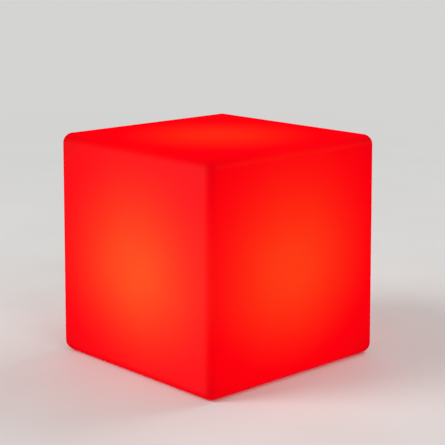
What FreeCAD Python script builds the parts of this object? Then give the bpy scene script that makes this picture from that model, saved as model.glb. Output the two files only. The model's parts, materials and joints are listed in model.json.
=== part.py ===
import FreeCAD, Part
import math
import os

# An LED cube light: a hollow cube, moulded in one piece, that glows from within. It stands by itself.
# A sealed battery light is screwed into a round recess in its underside: base plate below, drum-shaped
# housing above it, LEDs under a clear lens on top.
# Sizes are in millimetres. +Z is up. The origin is the middle of the underside, on the surface that
# the cube stands on, and the four upright faces look along X and Y.

# --- The moulded cube ---
CUBE_SIDE = 400.0  # its height, and its width half-way up
SIDE_DRAFT_DEG = 0.5  # the sides lean in towards the top by this much, as a moulding's do
EDGE_RADIUS = 18.0  # all twelve edges
SHELL_WALL = 3.5
REST_LAND = 36.0  # from a side face to the drawn-in part of the underside
PANEL_RISE = 1.5  # the underside is drawn in this far, so that the cube stands on its land
PANEL_SLOPE = 4.0
PANEL_CORNER = 30.0
RECESS_DRAFT = 1.0
RECESS_MOUTH_FILLET = 5.0
RECESS_ROOT_FILLET = 2.0
RECESS_RIM = 9.0  # from the recess's mouth to where its rounding has surely ended
RECESS_GAP = 2.0  # between the base plate's edge and the recess's wall
OPENING_GAP = 4.0  # between the housing and the opening that it goes through
LEDGE_WIDTH = 9.0  # from that opening to the circle of base screws
LEDGE_EDGE = 8.0  # from that circle to the base plate's edge

# --- Threaded inserts and base screws ---
BASE_SCREW_COUNT = 6
BASE_SCREW_RADIUS = 2.0
BASE_HEAD_RADIUS = 4.0
BASE_HEAD_HEIGHT = 2.4
BASE_SCREW_LENGTH = 12.0
INSERT_RADIUS = 3.5
INSERT_LENGTH = 11.0
INSERT_END = 2.0
INSERT_GROOVE = 0.4
BOSS_WALL = 4.0  # plastic round an insert, and over its end

# --- Base plate ---
PLATE_LIFT = 3.0  # its flange's underside, above the surface that the cube stands on
PLATE_THICKNESS = 5.0
PLATE_ROUNDING = 1.5
PLATE_STEP = 1.0  # its middle is moulded this much higher than its flange
STEP_GAP = 1.0  # from the opening in the shell, inwards, to that step
GASKET_THICKNESS = 2.0
GASKET_MARGIN = 1.0
SPIGOT_THICKNESS = 3.5
SPIGOT_HEIGHT = 6.0
SPIGOT_BEVEL = 0.8
SPIGOT_GAP = 0.3
RING_CORD = 1.8  # the ring seals' diameter
RING_GAP = 0.05
HOUSING_GROOVE_RISE = 2.0
RIB_COUNT = 8
RIB_THICKNESS = 1.6
RIB_HEIGHT = 3.0
RIB_LENGTH = 15.0

# --- Housing and its screws ---
HOUSING_WALL = 2.5
HOUSING_ROUNDING = 0.8
CELL_END_ROOM = 16.9  # from a battery cell's end to the housing's inside
TOWER_RADIUS = 3.5
TOWER_GAP = 0.7
TOWER_COUNT = 4
SMALL_SCREW_RADIUS = 1.5
SMALL_HEAD_RADIUS = 2.75
SMALL_HEAD_HEIGHT = 1.8
HOUSING_SCREW_LENGTH = 16.0
SHORT_SCREW_LENGTH = 8.0
HEAD_WELL = 2.0
CROWN_HEIGHT = 0.4  # a screw head's bevelled part, as a share of the head's height
CROWN_SLOPE = 1.5  # how far that bevel runs in for each millimetre that it rises
CROSS_WIDTH = 0.3  # the cross recess's arms, as a share of the head's radius
CROSS_FLOOR = 0.45  # where the recess ends, as a share of the head's height
TIP_BEVEL = 0.4  # as a share of the shank's radius

# --- Batteries ---
CELL_RADIUS = 9.2
CELL_LENGTH = 65.2
CELL_CRIMP = 0.8
CELL_NUB_RADIUS = 3.0
CELL_NUB_HEIGHT = 1.0
CELL_GAP = 0.4
CRADLE_GAP = 0.2
CRADLE_WALL = 1.6
CRADLE_MARGIN = 2.6  # how far the cradle stops short of the cells' ends
PAD_THICKNESS = 1.2
PAD_WIDTH = 8.0
PAD_INSET = 13.0  # from a cell's end to its pad
TAB_THICKNESS = 0.3
TAB_WIDTH = 7.0
LUG_THICKNESS = 2.0
LUG_RISE = 2.4  # from the cradle's lowest line to its lugs' underside
LUG_INSET = 10.6  # from a cell's end to a lug's screw
LUG_GAP = 0.4
LUG_RIM = 0.8  # a lug is this much wider than the post above it

# --- Control board and what it carries ---
BOARD_THICKNESS = 1.6
BOARD_GAP = 2.0
CRADLE_CLEARANCE = 0.4  # between the tallest piece on the board and the battery cradle
POST_RADIUS = 3.0
POST_INSET = 5.0
PILOT_DEPTH = 7.0
CAPACITOR_RADIUS = 3.15
CAPACITOR_HEIGHT = 7.7
CAPACITOR_FOOT = 6.6
CAPACITOR_FOOT_HEIGHT = 0.6
CAPACITOR_PLACE = (14.0, 14.0)
INDUCTOR_SIDE = 8.0
INDUCTOR_HEIGHT = 4.0
INDUCTOR_CORNER = 1.5
INDUCTOR_Y = 16.0
WINDING_RADIUS = 3.6
WINDING_WIDTH = 1.0
WINDING_DEPTH = 0.4
CONTROLLER_SIZE = (10.0, 4.0, 1.8)
CONTROLLER_PLACE = (-8.0, -4.0)
DRIVER_SIZE = (4.0, 5.0, 1.6)
DRIVER_COUNT = 4
DRIVER_PITCH = 8.0
DRIVER_OFFSET = 10.0  # from the LED lead's header to the row of LED drivers

# --- Charging jack and port ---
JACK_X = 18.0
JACK_SIDE = 9.0
JACK_HEIGHT = 13.0
JACK_BORE_RADIUS = 2.85
JACK_BORE_DEPTH = 9.5
JACK_PIN_RADIUS = 1.05
JACK_PIN_LENGTH = 8.0
JACK_PIN_ROOT = 1.6  # radius of the pin's shoulder, which is seated in the jack's body
JACK_ROOF = 1.0  # plastic over that shoulder
JACK_ROUNDING = 1.0
PIN_BEVEL = 0.4
CONTACT_RISE = 2.0  # from the jack's mouth to its leaf contact
CONTACT_LENGTH = 6.0
CONTACT_WIDTH = 2.0
CONTACT_SIDE_GAP = 0.2
CONTACT_CLEARANCE = 0.15  # from the leaf's bow to the socket's wall line
LEAF_THICKNESS = 0.3
LEAF_BOW = 0.9
LEAF_BEND = 2.0
JACK_GASKET = 1.0
PORT_HOLE_RADIUS = 3.6
PORT_WELL_RADIUS = 5.6
PORT_LEDGE = 1.0  # plate left round the port's hole, over its well

# --- Port flap ---
FLAP_THICKNESS = 1.8
FLAP_RADIUS = 7.5
FLAP_HALF_WIDTH = 4.5
STRAP_CORNER = 2.7
FLAP_REACH = 14.0  # from the jack's axis to the hinge
FLAP_OPEN_DEG = 120.0
FLAP_SPARE_DEG = 4.0
FLAP_GAP = 0.4
HINGE_GAP = 0.08
PLUG_GAP = 0.4
PLUG_TAPER = 0.3
PLUG_NOSE_GAP = 0.7
PLUG_SHORT = 0.15
NOTCH_RADIUS = 4.5
NOTCH_DEPTH = 1.2
ANCHOR_LENGTH = 10.0
STUD_RADIUS = 1.5
STUD_HEAD_RADIUS = 2.6
STUD_HEAD_HEIGHT = 1.6
STUD_TIP = 0.9  # the stud's radius at its pointed end

# --- Power button and switch ---
BUTTON_X = -18.0
BUTTON_RADIUS = 6.0
BUTTON_GAP = 0.3
BUTTON_TRAVEL = 1.5
BUTTON_FLANGE = 1.6
BUTTON_FLANGE_HEIGHT = 1.0
BUTTON_STEM_RADIUS = 3.0
BUTTON_EDGE = 0.6
BUTTON_PROUD = 1.0  # how far its face stands out of the dish's floor
BUTTON_HOLLOW = 0.5
BUTTON_HOLLOW_RADIUS = 4.5
STEM_RISE = 0.5  # from the collar's top to the stem's end
DISH_RADIUS = 13.0
DISH_DEPTH = 1.2
COLLAR_GAP = 0.4
COLLAR_WALL = 4.0
BEAD_WIDTH = 2.0
BEAD_HEIGHT = 1.5
WEB_THICKNESS = 0.6
WEB_STEP = 0.1
WEB_ROLL = 0.6
WEB_BEND = 1.0
CLAMP_SKIRT = 1.5
CLAMP_HEIGHT = 2.0
SWITCH_SIDE = 8.5
SWITCH_HEIGHT = 6.0
PLUNGER_RADIUS = 2.0
PLUNGER_GAP = 0.05
PLUNGER_HELD = 1.5
PLUNGER_SPARE = 1.0  # left over its end when it is pressed home
SWITCH_ROUNDING = 0.6

# --- Status light ---
PIPE_Y = -14.0
PIPE_RADIUS = 1.5
PIPE_FLANGE = 1.0
PIPE_GAP = 1.0
STATUS_LED_HEIGHT = 5.0
STATUS_DOME = 1.35
STATUS_RIM = 0.4
STATUS_RIM_HEIGHT = 1.0

# --- LED board and lens ---
STANDOFF_HEIGHT = 2.5
STANDOFF_RADIUS = 3.0
STANDOFF_INSET = 5.0
LENS_FLANGE_WIDTH = 7.5
LENS_FLANGE_THICKNESS = 2.5
LENS_WALL = 2.0
LENS_SHOULDER = 6.5  # from the housing's top to where the lens starts to curve
LENS_CROWN = 11.0
LENS_SCREW_INSET = 3.2
LENS_SCREW_COUNT = 4
LENS_BOSS_RADIUS = 3.25
LENS_SEAL_INSET = 6.4
LED_BOARD_MARGIN = 2.5
OUTER_LED_COUNT = 8
INNER_LED_COUNT = 4
LED_SIDE = 5.0
LED_HEIGHT = 1.6
LED_WINDOW_RADIUS = 2.0
LED_WINDOW_DEPTH = 0.3
OUTER_LED_INSET = 10.0  # from the board's edge to the outer circle of LEDs
INNER_LED_CIRCLE = 14.4
RESISTOR_COUNT = 4
RESISTOR_CIRCLE = 22.0
RESISTOR_SIZE = (3.2, 1.6, 0.6)
RECEIVER_SIZE = (6.0, 5.0, 3.0)
RECEIVER_DOME = 2.3

# --- Leads and their plugs ---
LED_WIRE_COUNT = 5
LED_WIRE_RADIUS = 0.6
LED_WIRE_PITCH = 1.5
LEAD_INSET = 9.0  # from the control board's edge to the LED lead
HEADER_HEIGHT = 5.6
PLUG_HEIGHT = 4.2
LED_HEADER_SIZE = (11.0, 5.8)
LED_SOCKET_DEPTH = 7.0
HEADER_WALL = 0.8  # how much wider a header is than its plug, on each side
LED_LEAD_SPARE = 1.0  # from the grommet's end of the lead to its upper plug, past what they need
GROMMET_SIZE = (11.0, 5.0)
GROMMET_WALL = 1.4
GROMMET_LIP = 1.0
SLOT_MARGIN = 0.5
BATTERY_WIRE_RADIUS = 0.9
BATTERY_WIRE_SPACING = 2.5
BATTERY_HEADER_SIZE = (7.0, 7.5)
BATTERY_HEADER_X = 12.0
BATTERY_PLUG_LENGTH = 6.0
BATTERY_PLUG_HEIGHT = 4.0
BATTERY_LEAD_BOW = 4.6

PAST = 1.0  # how far a cut runs on past the face that it goes through
LAP = 1.0  # how far two parts of one moulding run into each other
SEAT_GAP = 0.05  # between a turned or moulded piece and the hole or face that it sits in
SCREW_GAP = 0.25  # round a screw in a clearance hole
THREAD_GAP = 0.05

# --- Heights, from the underside up ---
PANEL_Z = PLATE_LIFT + PLATE_STEP
PLATE_TOP = PLATE_LIFT + PLATE_THICKNESS
RECESS_DEPTH = PLATE_TOP + GASKET_THICKNESS
BOARD_Z = PLATE_TOP + JACK_GASKET + JACK_HEIGHT
BOARD_TOP = BOARD_Z + BOARD_THICKNESS
CRADLE_Z = BOARD_TOP + HEADER_HEIGHT + PLUG_HEIGHT + CRADLE_CLEARANCE
CELL_Z = CRADLE_Z + CRADLE_WALL + CRADLE_GAP + CELL_RADIUS
DECK_Z = CELL_Z + CELL_RADIUS + PAD_THICKNESS
DECK_TOP = DECK_Z + HOUSING_WALL
LED_BOARD_Z = DECK_TOP + STANDOFF_HEIGHT
LED_BOARD_TOP = LED_BOARD_Z + BOARD_THICKNESS

# --- Radii, from the batteries out ---
HOUSING_INNER = CELL_LENGTH / 2 + CELL_END_ROOM
HOUSING_RADIUS = HOUSING_INNER + HOUSING_WALL
SPIGOT_RADIUS = HOUSING_INNER - SPIGOT_GAP
SPIGOT_INNER = SPIGOT_RADIUS - SPIGOT_THICKNESS
TOWER_CIRCLE = SPIGOT_INNER - TOWER_GAP - TOWER_RADIUS
BOARD_RADIUS = TOWER_CIRCLE - TOWER_RADIUS - BOARD_GAP
POST_CIRCLE = BOARD_RADIUS - POST_INSET
LEAD_Y = LEAD_INSET - BOARD_RADIUS
OPENING_RADIUS = HOUSING_RADIUS + OPENING_GAP
BASE_SCREW_CIRCLE = OPENING_RADIUS + LEDGE_WIDTH
PLATE_RADIUS = BASE_SCREW_CIRCLE + LEDGE_EDGE
RECESS_RADIUS = PLATE_RADIUS + RECESS_GAP
LENS_BODY_RADIUS = HOUSING_RADIUS - LENS_FLANGE_WIDTH
LENS_SCREW_CIRCLE = HOUSING_RADIUS - LENS_SCREW_INSET
LENS_SEAL_CIRCLE = HOUSING_RADIUS - LENS_SEAL_INSET
LED_BOARD_RADIUS = LENS_BODY_RADIUS - LENS_WALL - LED_BOARD_MARGIN
STANDOFF_CIRCLE = LED_BOARD_RADIUS - STANDOFF_INSET
CELL_OFFSET = CELL_RADIUS + CELL_GAP / 2
TROUGH_RADIUS = CELL_RADIUS + CRADLE_GAP
CRADLE_OUTER = TROUGH_RADIUS + CRADLE_WALL
LUG_X = CELL_LENGTH / 2 - LUG_INSET
LUG_Y = CELL_OFFSET + CRADLE_OUTER + LUG_GAP + POST_RADIUS
HINGE_X = JACK_X + FLAP_REACH
HINGE_RADIUS = FLAP_THICKNESS / 2
HINGE_Z = PANEL_Z + HINGE_RADIUS
PORT_WELL_TOP = PLATE_TOP - PORT_LEDGE
COLLAR_INNER = BUTTON_RADIUS + BUTTON_FLANGE + COLLAR_GAP
COLLAR_OUTER = COLLAR_INNER + COLLAR_WALL
COLLAR_TOP = PLATE_TOP + BUTTON_FLANGE_HEIGHT + BUTTON_TRAVEL
STEM_TOP = COLLAR_TOP + STEM_RISE
BEAD_TOP = COLLAR_TOP + BEAD_HEIGHT


def at(x, y, z=0.0):
    return FreeCAD.Vector(x, y, z)


def circle_of(count, radius, start_deg=0.0):
    """Places spread evenly on a circle about the cube's axis."""
    turns = [math.radians(start_deg + 360.0 * k / count) for k in range(count)]
    return [(radius * math.cos(turn), radius * math.sin(turn)) for turn in turns]


def corners_of(x, y):
    return [(sx * x, sy * y) for sx in (-1, 1) for sy in (-1, 1)]


def together(shapes):
    shapes = list(shapes)
    return shapes[0].multiFuse(shapes[1:]).removeSplitter() if len(shapes) > 1 else shapes[0]


def group(shapes):
    """Separate solids that are one node."""
    return Part.makeCompound(list(shapes))


def rod(radius, low, high, place=(0.0, 0.0)):
    return Part.makeCylinder(radius, high - low, at(place[0], place[1], low))


def ring(outer, inner, low, high, place=(0.0, 0.0)):
    return rod(outer, low, high, place).cut(rod(inner, low - PAST, high + PAST, place))


def block(size_x, size_y, low, high, place=(0.0, 0.0)):
    corner = at(place[0] - size_x / 2, place[1] - size_y / 2, low)
    return Part.makeBox(size_x, size_y, high - low, corner)


def outline(corners, to_space):
    """A closed wire through corners (a, b, fillet radius), where to_space turns a and b into a point."""
    flat = [(at(c[0], c[1]), c[2] if len(c) > 2 else 0.0) for c in corners]
    bends = []
    for k, (corner, radius) in enumerate(flat):
        back = (flat[k - 1][0] - corner).normalize()
        ahead = (flat[(k + 1) % len(flat)][0] - corner).normalize()
        half = back.getAngle(ahead) / 2
        run = radius / math.tan(half)
        inward = (back + ahead).normalize() if radius else at(0, 0)
        middle = corner + inward * (radius / math.sin(half) - radius)
        bends.append((corner + back * run, middle, corner + ahead * run, radius))
    edges = []
    for k, (start, middle, end, radius) in enumerate(bends):
        if radius:
            edges.append(Part.Arc(*[to_space(p.x, p.y) for p in (start, middle, end)]).toShape())
        following = bends[(k + 1) % len(bends)][0]
        if end.distanceToPoint(following) > 1e-6:
            line = Part.LineSegment(to_space(end.x, end.y), to_space(following.x, following.y))
            edges.append(line.toShape())
    return Part.Wire(edges)


def turned(corners, place=(0.0, 0.0)):
    """The solid turned by an outline of (radius, height, fillet) corners about an upright axis."""
    face = Part.Face(outline(corners, lambda a, b: at(a, 0, b)))
    solid = face.revolve(at(0, 0), at(0, 0, 1), 360)
    solid.translate(at(place[0], place[1]))
    return solid


def raised(corners, low, high):
    """An upright prism on an outline of (x, y, fillet) corners."""
    return Part.Face(outline(corners, lambda a, b: at(a, b, low))).extrude(at(0, 0, high - low))


def rectangle(size_x, size_y, fillet, place=(0.0, 0.0)):
    x, y = size_x / 2, size_y / 2
    return [(place[0] + a, place[1] + b, fillet) for a, b in ((-x, -y), (x, -y), (x, y), (-x, y))]


def screw(place, head_low, head_height, head_radius, shank_radius, shank_length, points_up):
    """A pan-head screw with a cross recess. Its head rests where its shank starts."""
    bevel = head_height * CROWN_HEIGHT
    head = turned([(0, 0), (head_radius, 0), (head_radius, head_height - bevel),
                   (head_radius - CROWN_SLOPE * bevel, head_height), (0, head_height)])
    arm = head_radius * CROSS_WIDTH
    for size_x, size_y in ((head_radius, arm), (arm, head_radius)):
        head = head.cut(block(size_x, size_y, head_height * CROSS_FLOOR, head_height + PAST))
    tip = shank_radius * TIP_BEVEL
    shank = turned([(0, 0), (shank_radius, 0), (shank_radius, -shank_length + tip),
                    (shank_radius - tip, -shank_length), (0, -shank_length)])
    whole = head.fuse(shank).removeSplitter()
    if points_up:
        whole.rotate(at(0, 0), at(1, 0, 0), 180)
        whole.translate(at(0, 0, head_height))
    whole.translate(at(place[0], place[1], head_low))
    return whole


def small_screw(place, head_low, points_up, length=SHORT_SCREW_LENGTH):
    head = (SMALL_HEAD_HEIGHT, SMALL_HEAD_RADIUS)
    return screw(place, head_low, *head, SMALL_SCREW_RADIUS, length, points_up)


def pilot(place, low, high):
    """The hole that a small screw cuts its thread in."""
    return rod(SMALL_SCREW_RADIUS + THREAD_GAP, low, high, place)


def wire_along(points, radius):
    """A wire of round section: straight runs joined by arcs as large as the runs allow."""
    points = [at(*p) for p in points]
    edges = []
    start = points[0]
    for before, corner, after in zip(points, points[1:], points[2:]):
        back = before - corner
        ahead = after - corner
        run = 0.45 * min(back.Length, ahead.Length)
        back.normalize()
        ahead.normalize()
        half = back.getAngle(ahead) / 2
        bend = run * math.tan(half)
        middle = corner + (back + ahead).normalize() * (bend / math.sin(half) - bend)
        edges.append(Part.LineSegment(start, corner + back * run).toShape())
        edges.append(Part.Arc(corner + back * run, middle, corner + ahead * run).toShape())
        start = corner + ahead * run
    edges.append(Part.LineSegment(start, points[-1]).toShape())
    path = Part.Wire(edges)
    section = Part.Wire(Part.makeCircle(radius, points[0], points[1] - points[0]))
    solid = path.makePipeShell([section], True, False)
    expected = math.pi * radius**2 * path.Length
    print(f"wire {path.Length:.1f} long, volume {solid.Volume / expected:.4f} of section times length")
    return solid


# --- The cube ---


def half_width(level):
    """From the cube's axis to the plane of a side face, at a level."""
    return CUBE_SIDE / 2 + (CUBE_SIDE / 2 - level) * math.tan(math.radians(SIDE_DRAFT_DEG))


def rounded_cube(inset):
    """The cube's outer form, or that form taken in by inset all over."""
    low, high = inset, CUBE_SIDE - inset
    taken = inset / math.cos(math.radians(SIDE_DRAFT_DEG))
    foot, top = half_width(low) - taken, half_width(high) - taken
    lying = Part.makeWedge(-foot, low, -foot, -top, -top, foot, high, foot, top, top)
    cube = lying.rotated(at(0, 0), at(1, 0, 0), 90)
    return cube.makeFillet(EDGE_RADIUS - inset, cube.Edges)


def drawn_in_panel(low):
    """The shallow square hollow that leaves the underside standing on its land."""
    foot = 2 * (half_width(0.0) - REST_LAND)
    levels = ((low, 0.0), (low + PANEL_RISE, PANEL_SLOPE))
    wires = []
    for level, inset in levels:
        corners = rectangle(foot - 2 * inset, foot - 2 * inset, PANEL_CORNER - inset)
        wires.append(outline(corners, lambda a, b, level=level: at(a, b, level)))
    return Part.makeLoft(wires, True, True)


def recess_form(offset):
    """The turned-in recess as a solid: the hollow itself, or with offset the plastic round it too."""
    mouth = RECESS_RADIUS + RECESS_DRAFT + offset
    floor = PANEL_RISE + offset
    return turned([
        (0, -SHELL_WALL),
        (mouth + RECESS_RIM, -SHELL_WALL),
        (mouth + RECESS_RIM, floor),
        (mouth, floor, RECESS_MOUTH_FILLET - offset),
        (RECESS_RADIUS + offset, RECESS_DEPTH + offset, RECESS_ROOT_FILLET + offset),
        (0, RECESS_DEPTH + offset),
    ])


def insert_places():
    return circle_of(BASE_SCREW_COUNT, BASE_SCREW_CIRCLE, 30.0)


def insert_bosses():
    radius = INSERT_RADIUS + BOSS_WALL
    top = RECESS_DEPTH + INSERT_LENGTH + BOSS_WALL
    bevel = BOSS_WALL / 2
    corners = [
        (0, RECESS_DEPTH),
        (radius, RECESS_DEPTH),
        (radius, top - bevel),
        (radius - bevel, top),
        (0, top),
    ]
    return [turned(corners, place) for place in insert_places()]


def cube_shell():
    hollow = rounded_cube(SHELL_WALL).cut(drawn_in_panel(SHELL_WALL))
    hollow = hollow.cut(recess_form(SHELL_WALL)).cut(insert_bosses())
    shell = rounded_cube(0.0).cut(drawn_in_panel(0.0)).cut(recess_form(0.0)).cut(hollow)
    ledge_top = RECESS_DEPTH + SHELL_WALL
    shell = shell.cut(rod(OPENING_RADIUS, RECESS_DEPTH - PAST, ledge_top + PAST))
    hole_top = RECESS_DEPTH + INSERT_LENGTH + SEAT_GAP
    hole = INSERT_RADIUS + SEAT_GAP
    holes = [rod(hole, RECESS_DEPTH - PAST, hole_top, place) for place in insert_places()]
    return shell.cut(holes).removeSplitter()


def threaded_inserts():
    low, high = RECESS_DEPTH, RECESS_DEPTH + INSERT_LENGTH
    bore = BASE_SCREW_RADIUS + THREAD_GAP
    third = INSERT_LENGTH / 3
    waist = INSERT_RADIUS - INSERT_GROOVE
    corners = [
        (bore, low),
        (INSERT_RADIUS, low),
        (INSERT_RADIUS, low + third),
        (waist, low + third + INSERT_GROOVE),
        (waist, high - third - INSERT_GROOVE),
        (INSERT_RADIUS, high - third),
        (INSERT_RADIUS, high - INSERT_GROOVE),
        (waist, high),
        (0, high),
        (0, high - INSERT_END),
        (bore, high - INSERT_END),
    ]
    return group(turned(corners, place) for place in insert_places())


# --- Base plate and its seals ---


def base_gasket():
    inner = OPENING_RADIUS + GASKET_MARGIN
    outer = PLATE_RADIUS - GASKET_MARGIN
    hole = BASE_SCREW_RADIUS + SCREW_GAP
    holes = [rod(hole, PLATE_TOP - PAST, RECESS_DEPTH + PAST, place) for place in insert_places()]
    return ring(outer, inner, PLATE_TOP, RECESS_DEPTH).cut(holes)


def tower_places():
    return circle_of(TOWER_COUNT, TOWER_CIRCLE, 45.0)


def post_places():
    return circle_of(3, POST_CIRCLE, 90.0)


def ring_groove_depth():
    return RING_CORD - SPIGOT_GAP + 2 * RING_GAP


def plate_disc():
    step_radius = OPENING_RADIUS - STEP_GAP
    return turned([
        (0, PANEL_Z),
        (step_radius, PANEL_Z),
        (step_radius + PLATE_STEP, PLATE_LIFT),
        (PLATE_RADIUS, PLATE_LIFT, PLATE_ROUNDING),
        (PLATE_RADIUS, PLATE_TOP),
        (0, PLATE_TOP),
    ])


def plate_spigot():
    top = PLATE_TOP + SPIGOT_HEIGHT
    low = PLATE_TOP + HOUSING_GROOVE_RISE
    high = low + RING_CORD + 2 * RING_GAP
    floor = SPIGOT_RADIUS - ring_groove_depth()
    return turned([
        (SPIGOT_INNER, PLATE_TOP - LAP),
        (SPIGOT_RADIUS, PLATE_TOP - LAP),
        (SPIGOT_RADIUS, low),
        (floor, low),
        (floor, high),
        (SPIGOT_RADIUS, high),
        (SPIGOT_RADIUS, top - SPIGOT_BEVEL),
        (SPIGOT_RADIUS - SPIGOT_BEVEL, top),
        (SPIGOT_INNER, top),
    ])


def plate_ribs():
    ribs = []
    middle = SPIGOT_INNER - (RIB_LENGTH - LAP) / 2
    for k in range(RIB_COUNT):
        low, high = PLATE_TOP - LAP, PLATE_TOP + RIB_HEIGHT
        rib = block(RIB_LENGTH + LAP, RIB_THICKNESS, low, high, (middle, 0))
        rib.rotate(at(0, 0), at(0, 0, 1), 360.0 * (k + 0.5) / RIB_COUNT)
        ribs.append(rib)
    return ribs


def dished_hollow(radius, depth, level, place):
    """The part of a ball that hollows a face at level by depth, over radius."""
    ball = (radius**2 + depth**2) / (2 * depth)
    return Part.makeSphere(ball, at(place[0], place[1], level + depth - ball))


def base_screw_seat():
    return PLATE_LIFT + BASE_HEAD_HEIGHT + SEAT_GAP


def housing_screw_seat():
    return PANEL_Z + HEAD_WELL


def strap(first_x, last_x, gap):
    """The flap's strap in plan, from first_x to last_x, let out by gap, with its end rounded."""
    width = 2 * (FLAP_HALF_WIDTH + gap)
    length = last_x + gap - first_x
    middle = (first_x + length / 2, 0)
    low, high = PANEL_Z, PANEL_Z + FLAP_THICKNESS
    plain = block(length, width, low, high, middle)
    upright = [edge for edge in plain.Edges if is_upright_at(edge, last_x + gap)]
    return plain.makeFillet(STRAP_CORNER, upright)


def is_upright_at(edge, x):
    first, last = edge.Vertexes[0].Point, edge.Vertexes[-1].Point
    return abs(first.x - x) < 1e-6 and abs(last.x - x) < 1e-6 and abs(first.z - last.z) > 1e-6


def port_pocket():
    """The shallow pocket in the plate's underside that the flap and its anchor lie in."""
    low, high = PANEL_Z - PAST, PANEL_Z + FLAP_THICKNESS + SEAT_GAP
    disc = rod(FLAP_RADIUS + FLAP_GAP, low, high, (JACK_X, 0))
    slot = strap(JACK_X, HINGE_X + ANCHOR_LENGTH, FLAP_GAP)
    slot = slot.fuse([slot.translated(at(0, 0, rise)) for rise in (SEAT_GAP, -PAST)])
    notch_x = JACK_X - FLAP_RADIUS - FLAP_GAP
    notch = rod(NOTCH_RADIUS, low, PANEL_Z + NOTCH_DEPTH, (notch_x, 0))
    return [disc, slot, notch]


def stud_place():
    return (HINGE_X + ANCHOR_LENGTH - FLAP_HALF_WIDTH, 0.0)


def plate_cuts():
    low, high = PLATE_LIFT - PAST, PLATE_TOP + PAST
    cuts = []
    for place in insert_places():
        cuts.append(rod(BASE_SCREW_RADIUS + SCREW_GAP, low, high, place))
        cuts.append(rod(BASE_HEAD_RADIUS + SCREW_GAP, low, base_screw_seat(), place))
    for place in tower_places():
        cuts.append(rod(SMALL_SCREW_RADIUS + SCREW_GAP, low, high, place))
        cuts.append(rod(SMALL_HEAD_RADIUS + SCREW_GAP, low, housing_screw_seat(), place))
    button = (BUTTON_X, 0)
    cuts.append(rod(BUTTON_RADIUS + BUTTON_GAP, low, high, button))
    cuts.append(dished_hollow(DISH_RADIUS, DISH_DEPTH, PANEL_Z, button))
    cuts.append(rod(PORT_WELL_RADIUS, low, PORT_WELL_TOP, (JACK_X, 0)))
    cuts.append(rod(PORT_HOLE_RADIUS, low, high, (JACK_X, 0)))
    cuts.append(rod(STUD_RADIUS + RING_GAP, low, high, stud_place()))
    cuts.append(rod(PIPE_RADIUS + RING_GAP, low, high, (0, PIPE_Y)))
    return cuts + port_pocket()


def base_plate():
    posts = [rod(POST_RADIUS, PLATE_TOP - LAP, BOARD_Z, place) for place in post_places()]
    collar = ring(COLLAR_OUTER, COLLAR_INNER, PLATE_TOP - LAP, COLLAR_TOP, (BUTTON_X, 0))
    plate = together([plate_disc(), plate_spigot(), collar] + posts + plate_ribs())
    pilots = [pilot(place, BOARD_Z - PILOT_DEPTH, BOARD_Z + PAST) for place in post_places()]
    return plate.cut(plate_cuts() + pilots)


def base_screws():
    head_low = base_screw_seat() - BASE_HEAD_HEIGHT
    head = (BASE_HEAD_HEIGHT, BASE_HEAD_RADIUS)
    shank = (BASE_SCREW_RADIUS, BASE_SCREW_LENGTH)
    return group(screw(place, head_low, *head, *shank, True) for place in insert_places())


def housing_seal():
    middle = SPIGOT_RADIUS - ring_groove_depth() + RING_GAP + RING_CORD / 2
    level = PLATE_TOP + HOUSING_GROOVE_RISE + RING_GAP + RING_CORD / 2
    return Part.makeTorus(middle, RING_CORD / 2, at(0, 0, level))


# --- Housing ---


def lens_screw_places():
    return circle_of(LENS_SCREW_COUNT, LENS_SCREW_CIRCLE)


def standoff_places():
    return circle_of(3, STANDOFF_CIRCLE, 90.0)


def obround(size, grow, low, high, place):
    """An upright prism with half-round ends, its long side along X."""
    size_x, size_y = size[0] + 2 * grow, size[1] + 2 * grow
    middle = block(size_x - size_y, size_y, low, high, place)
    side = (size_x - size_y) / 2
    ends = [rod(size_y / 2, low, high, (place[0] + s * side, place[1])) for s in (-1, 1)]
    return together([middle] + ends)


def lug_places():
    return corners_of(LUG_X, LUG_Y)


def housing_cup():
    return turned([
        (HOUSING_INNER, PLATE_TOP),
        (HOUSING_RADIUS, PLATE_TOP),
        (HOUSING_RADIUS, DECK_TOP, HOUSING_ROUNDING),
        (0, DECK_TOP),
        (0, DECK_Z),
        (HOUSING_INNER, DECK_Z),
    ])


def module_housing():
    towers = [rod(TOWER_RADIUS, PLATE_TOP, DECK_Z + LAP, place) for place in tower_places()]
    lug_top = CRADLE_Z + LUG_RISE + LUG_THICKNESS
    hangers = [rod(POST_RADIUS, lug_top, DECK_Z + LAP, place) for place in lug_places()]
    standoffs = [rod(STANDOFF_RADIUS, DECK_TOP - LAP, LED_BOARD_Z, place) for place in standoff_places()]
    boss_low = DECK_TOP - SHORT_SCREW_LENGTH - LENS_FLANGE_THICKNESS
    inside = rod(HOUSING_RADIUS - LAP / 2, PLATE_TOP, DECK_TOP - LAP)
    bosses = [rod(LENS_BOSS_RADIUS, boss_low, DECK_TOP - LAP, place) for place in lens_screw_places()]
    bosses = [boss.common(inside) for boss in bosses]
    housing = together([housing_cup()] + towers + hangers + standoffs + bosses)
    cuts = [pilot(place, PLATE_TOP - PAST, PLATE_TOP + HOUSING_SCREW_LENGTH) for place in tower_places()]
    cuts += [pilot(place, lug_top - PAST, lug_top + SHORT_SCREW_LENGTH) for place in lug_places()]
    low, high = LED_BOARD_Z - SHORT_SCREW_LENGTH, LED_BOARD_Z + PAST
    cuts += [pilot(place, low, high) for place in standoff_places()]
    cuts += [pilot(place, DECK_TOP - SHORT_SCREW_LENGTH, DECK_TOP + PAST) for place in lens_screw_places()]
    half = RING_CORD / 2 + RING_GAP
    floor = DECK_TOP - RING_CORD - RING_GAP
    cuts.append(ring(LENS_SEAL_CIRCLE + half, LENS_SEAL_CIRCLE - half, floor, DECK_TOP + PAST))
    grommet_hole = GROMMET_WALL + SEAT_GAP
    cuts.append(obround(GROMMET_SIZE, grommet_hole, DECK_Z - PAST, DECK_TOP + PAST, (0, LEAD_Y)))
    return housing.cut(cuts)


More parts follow.
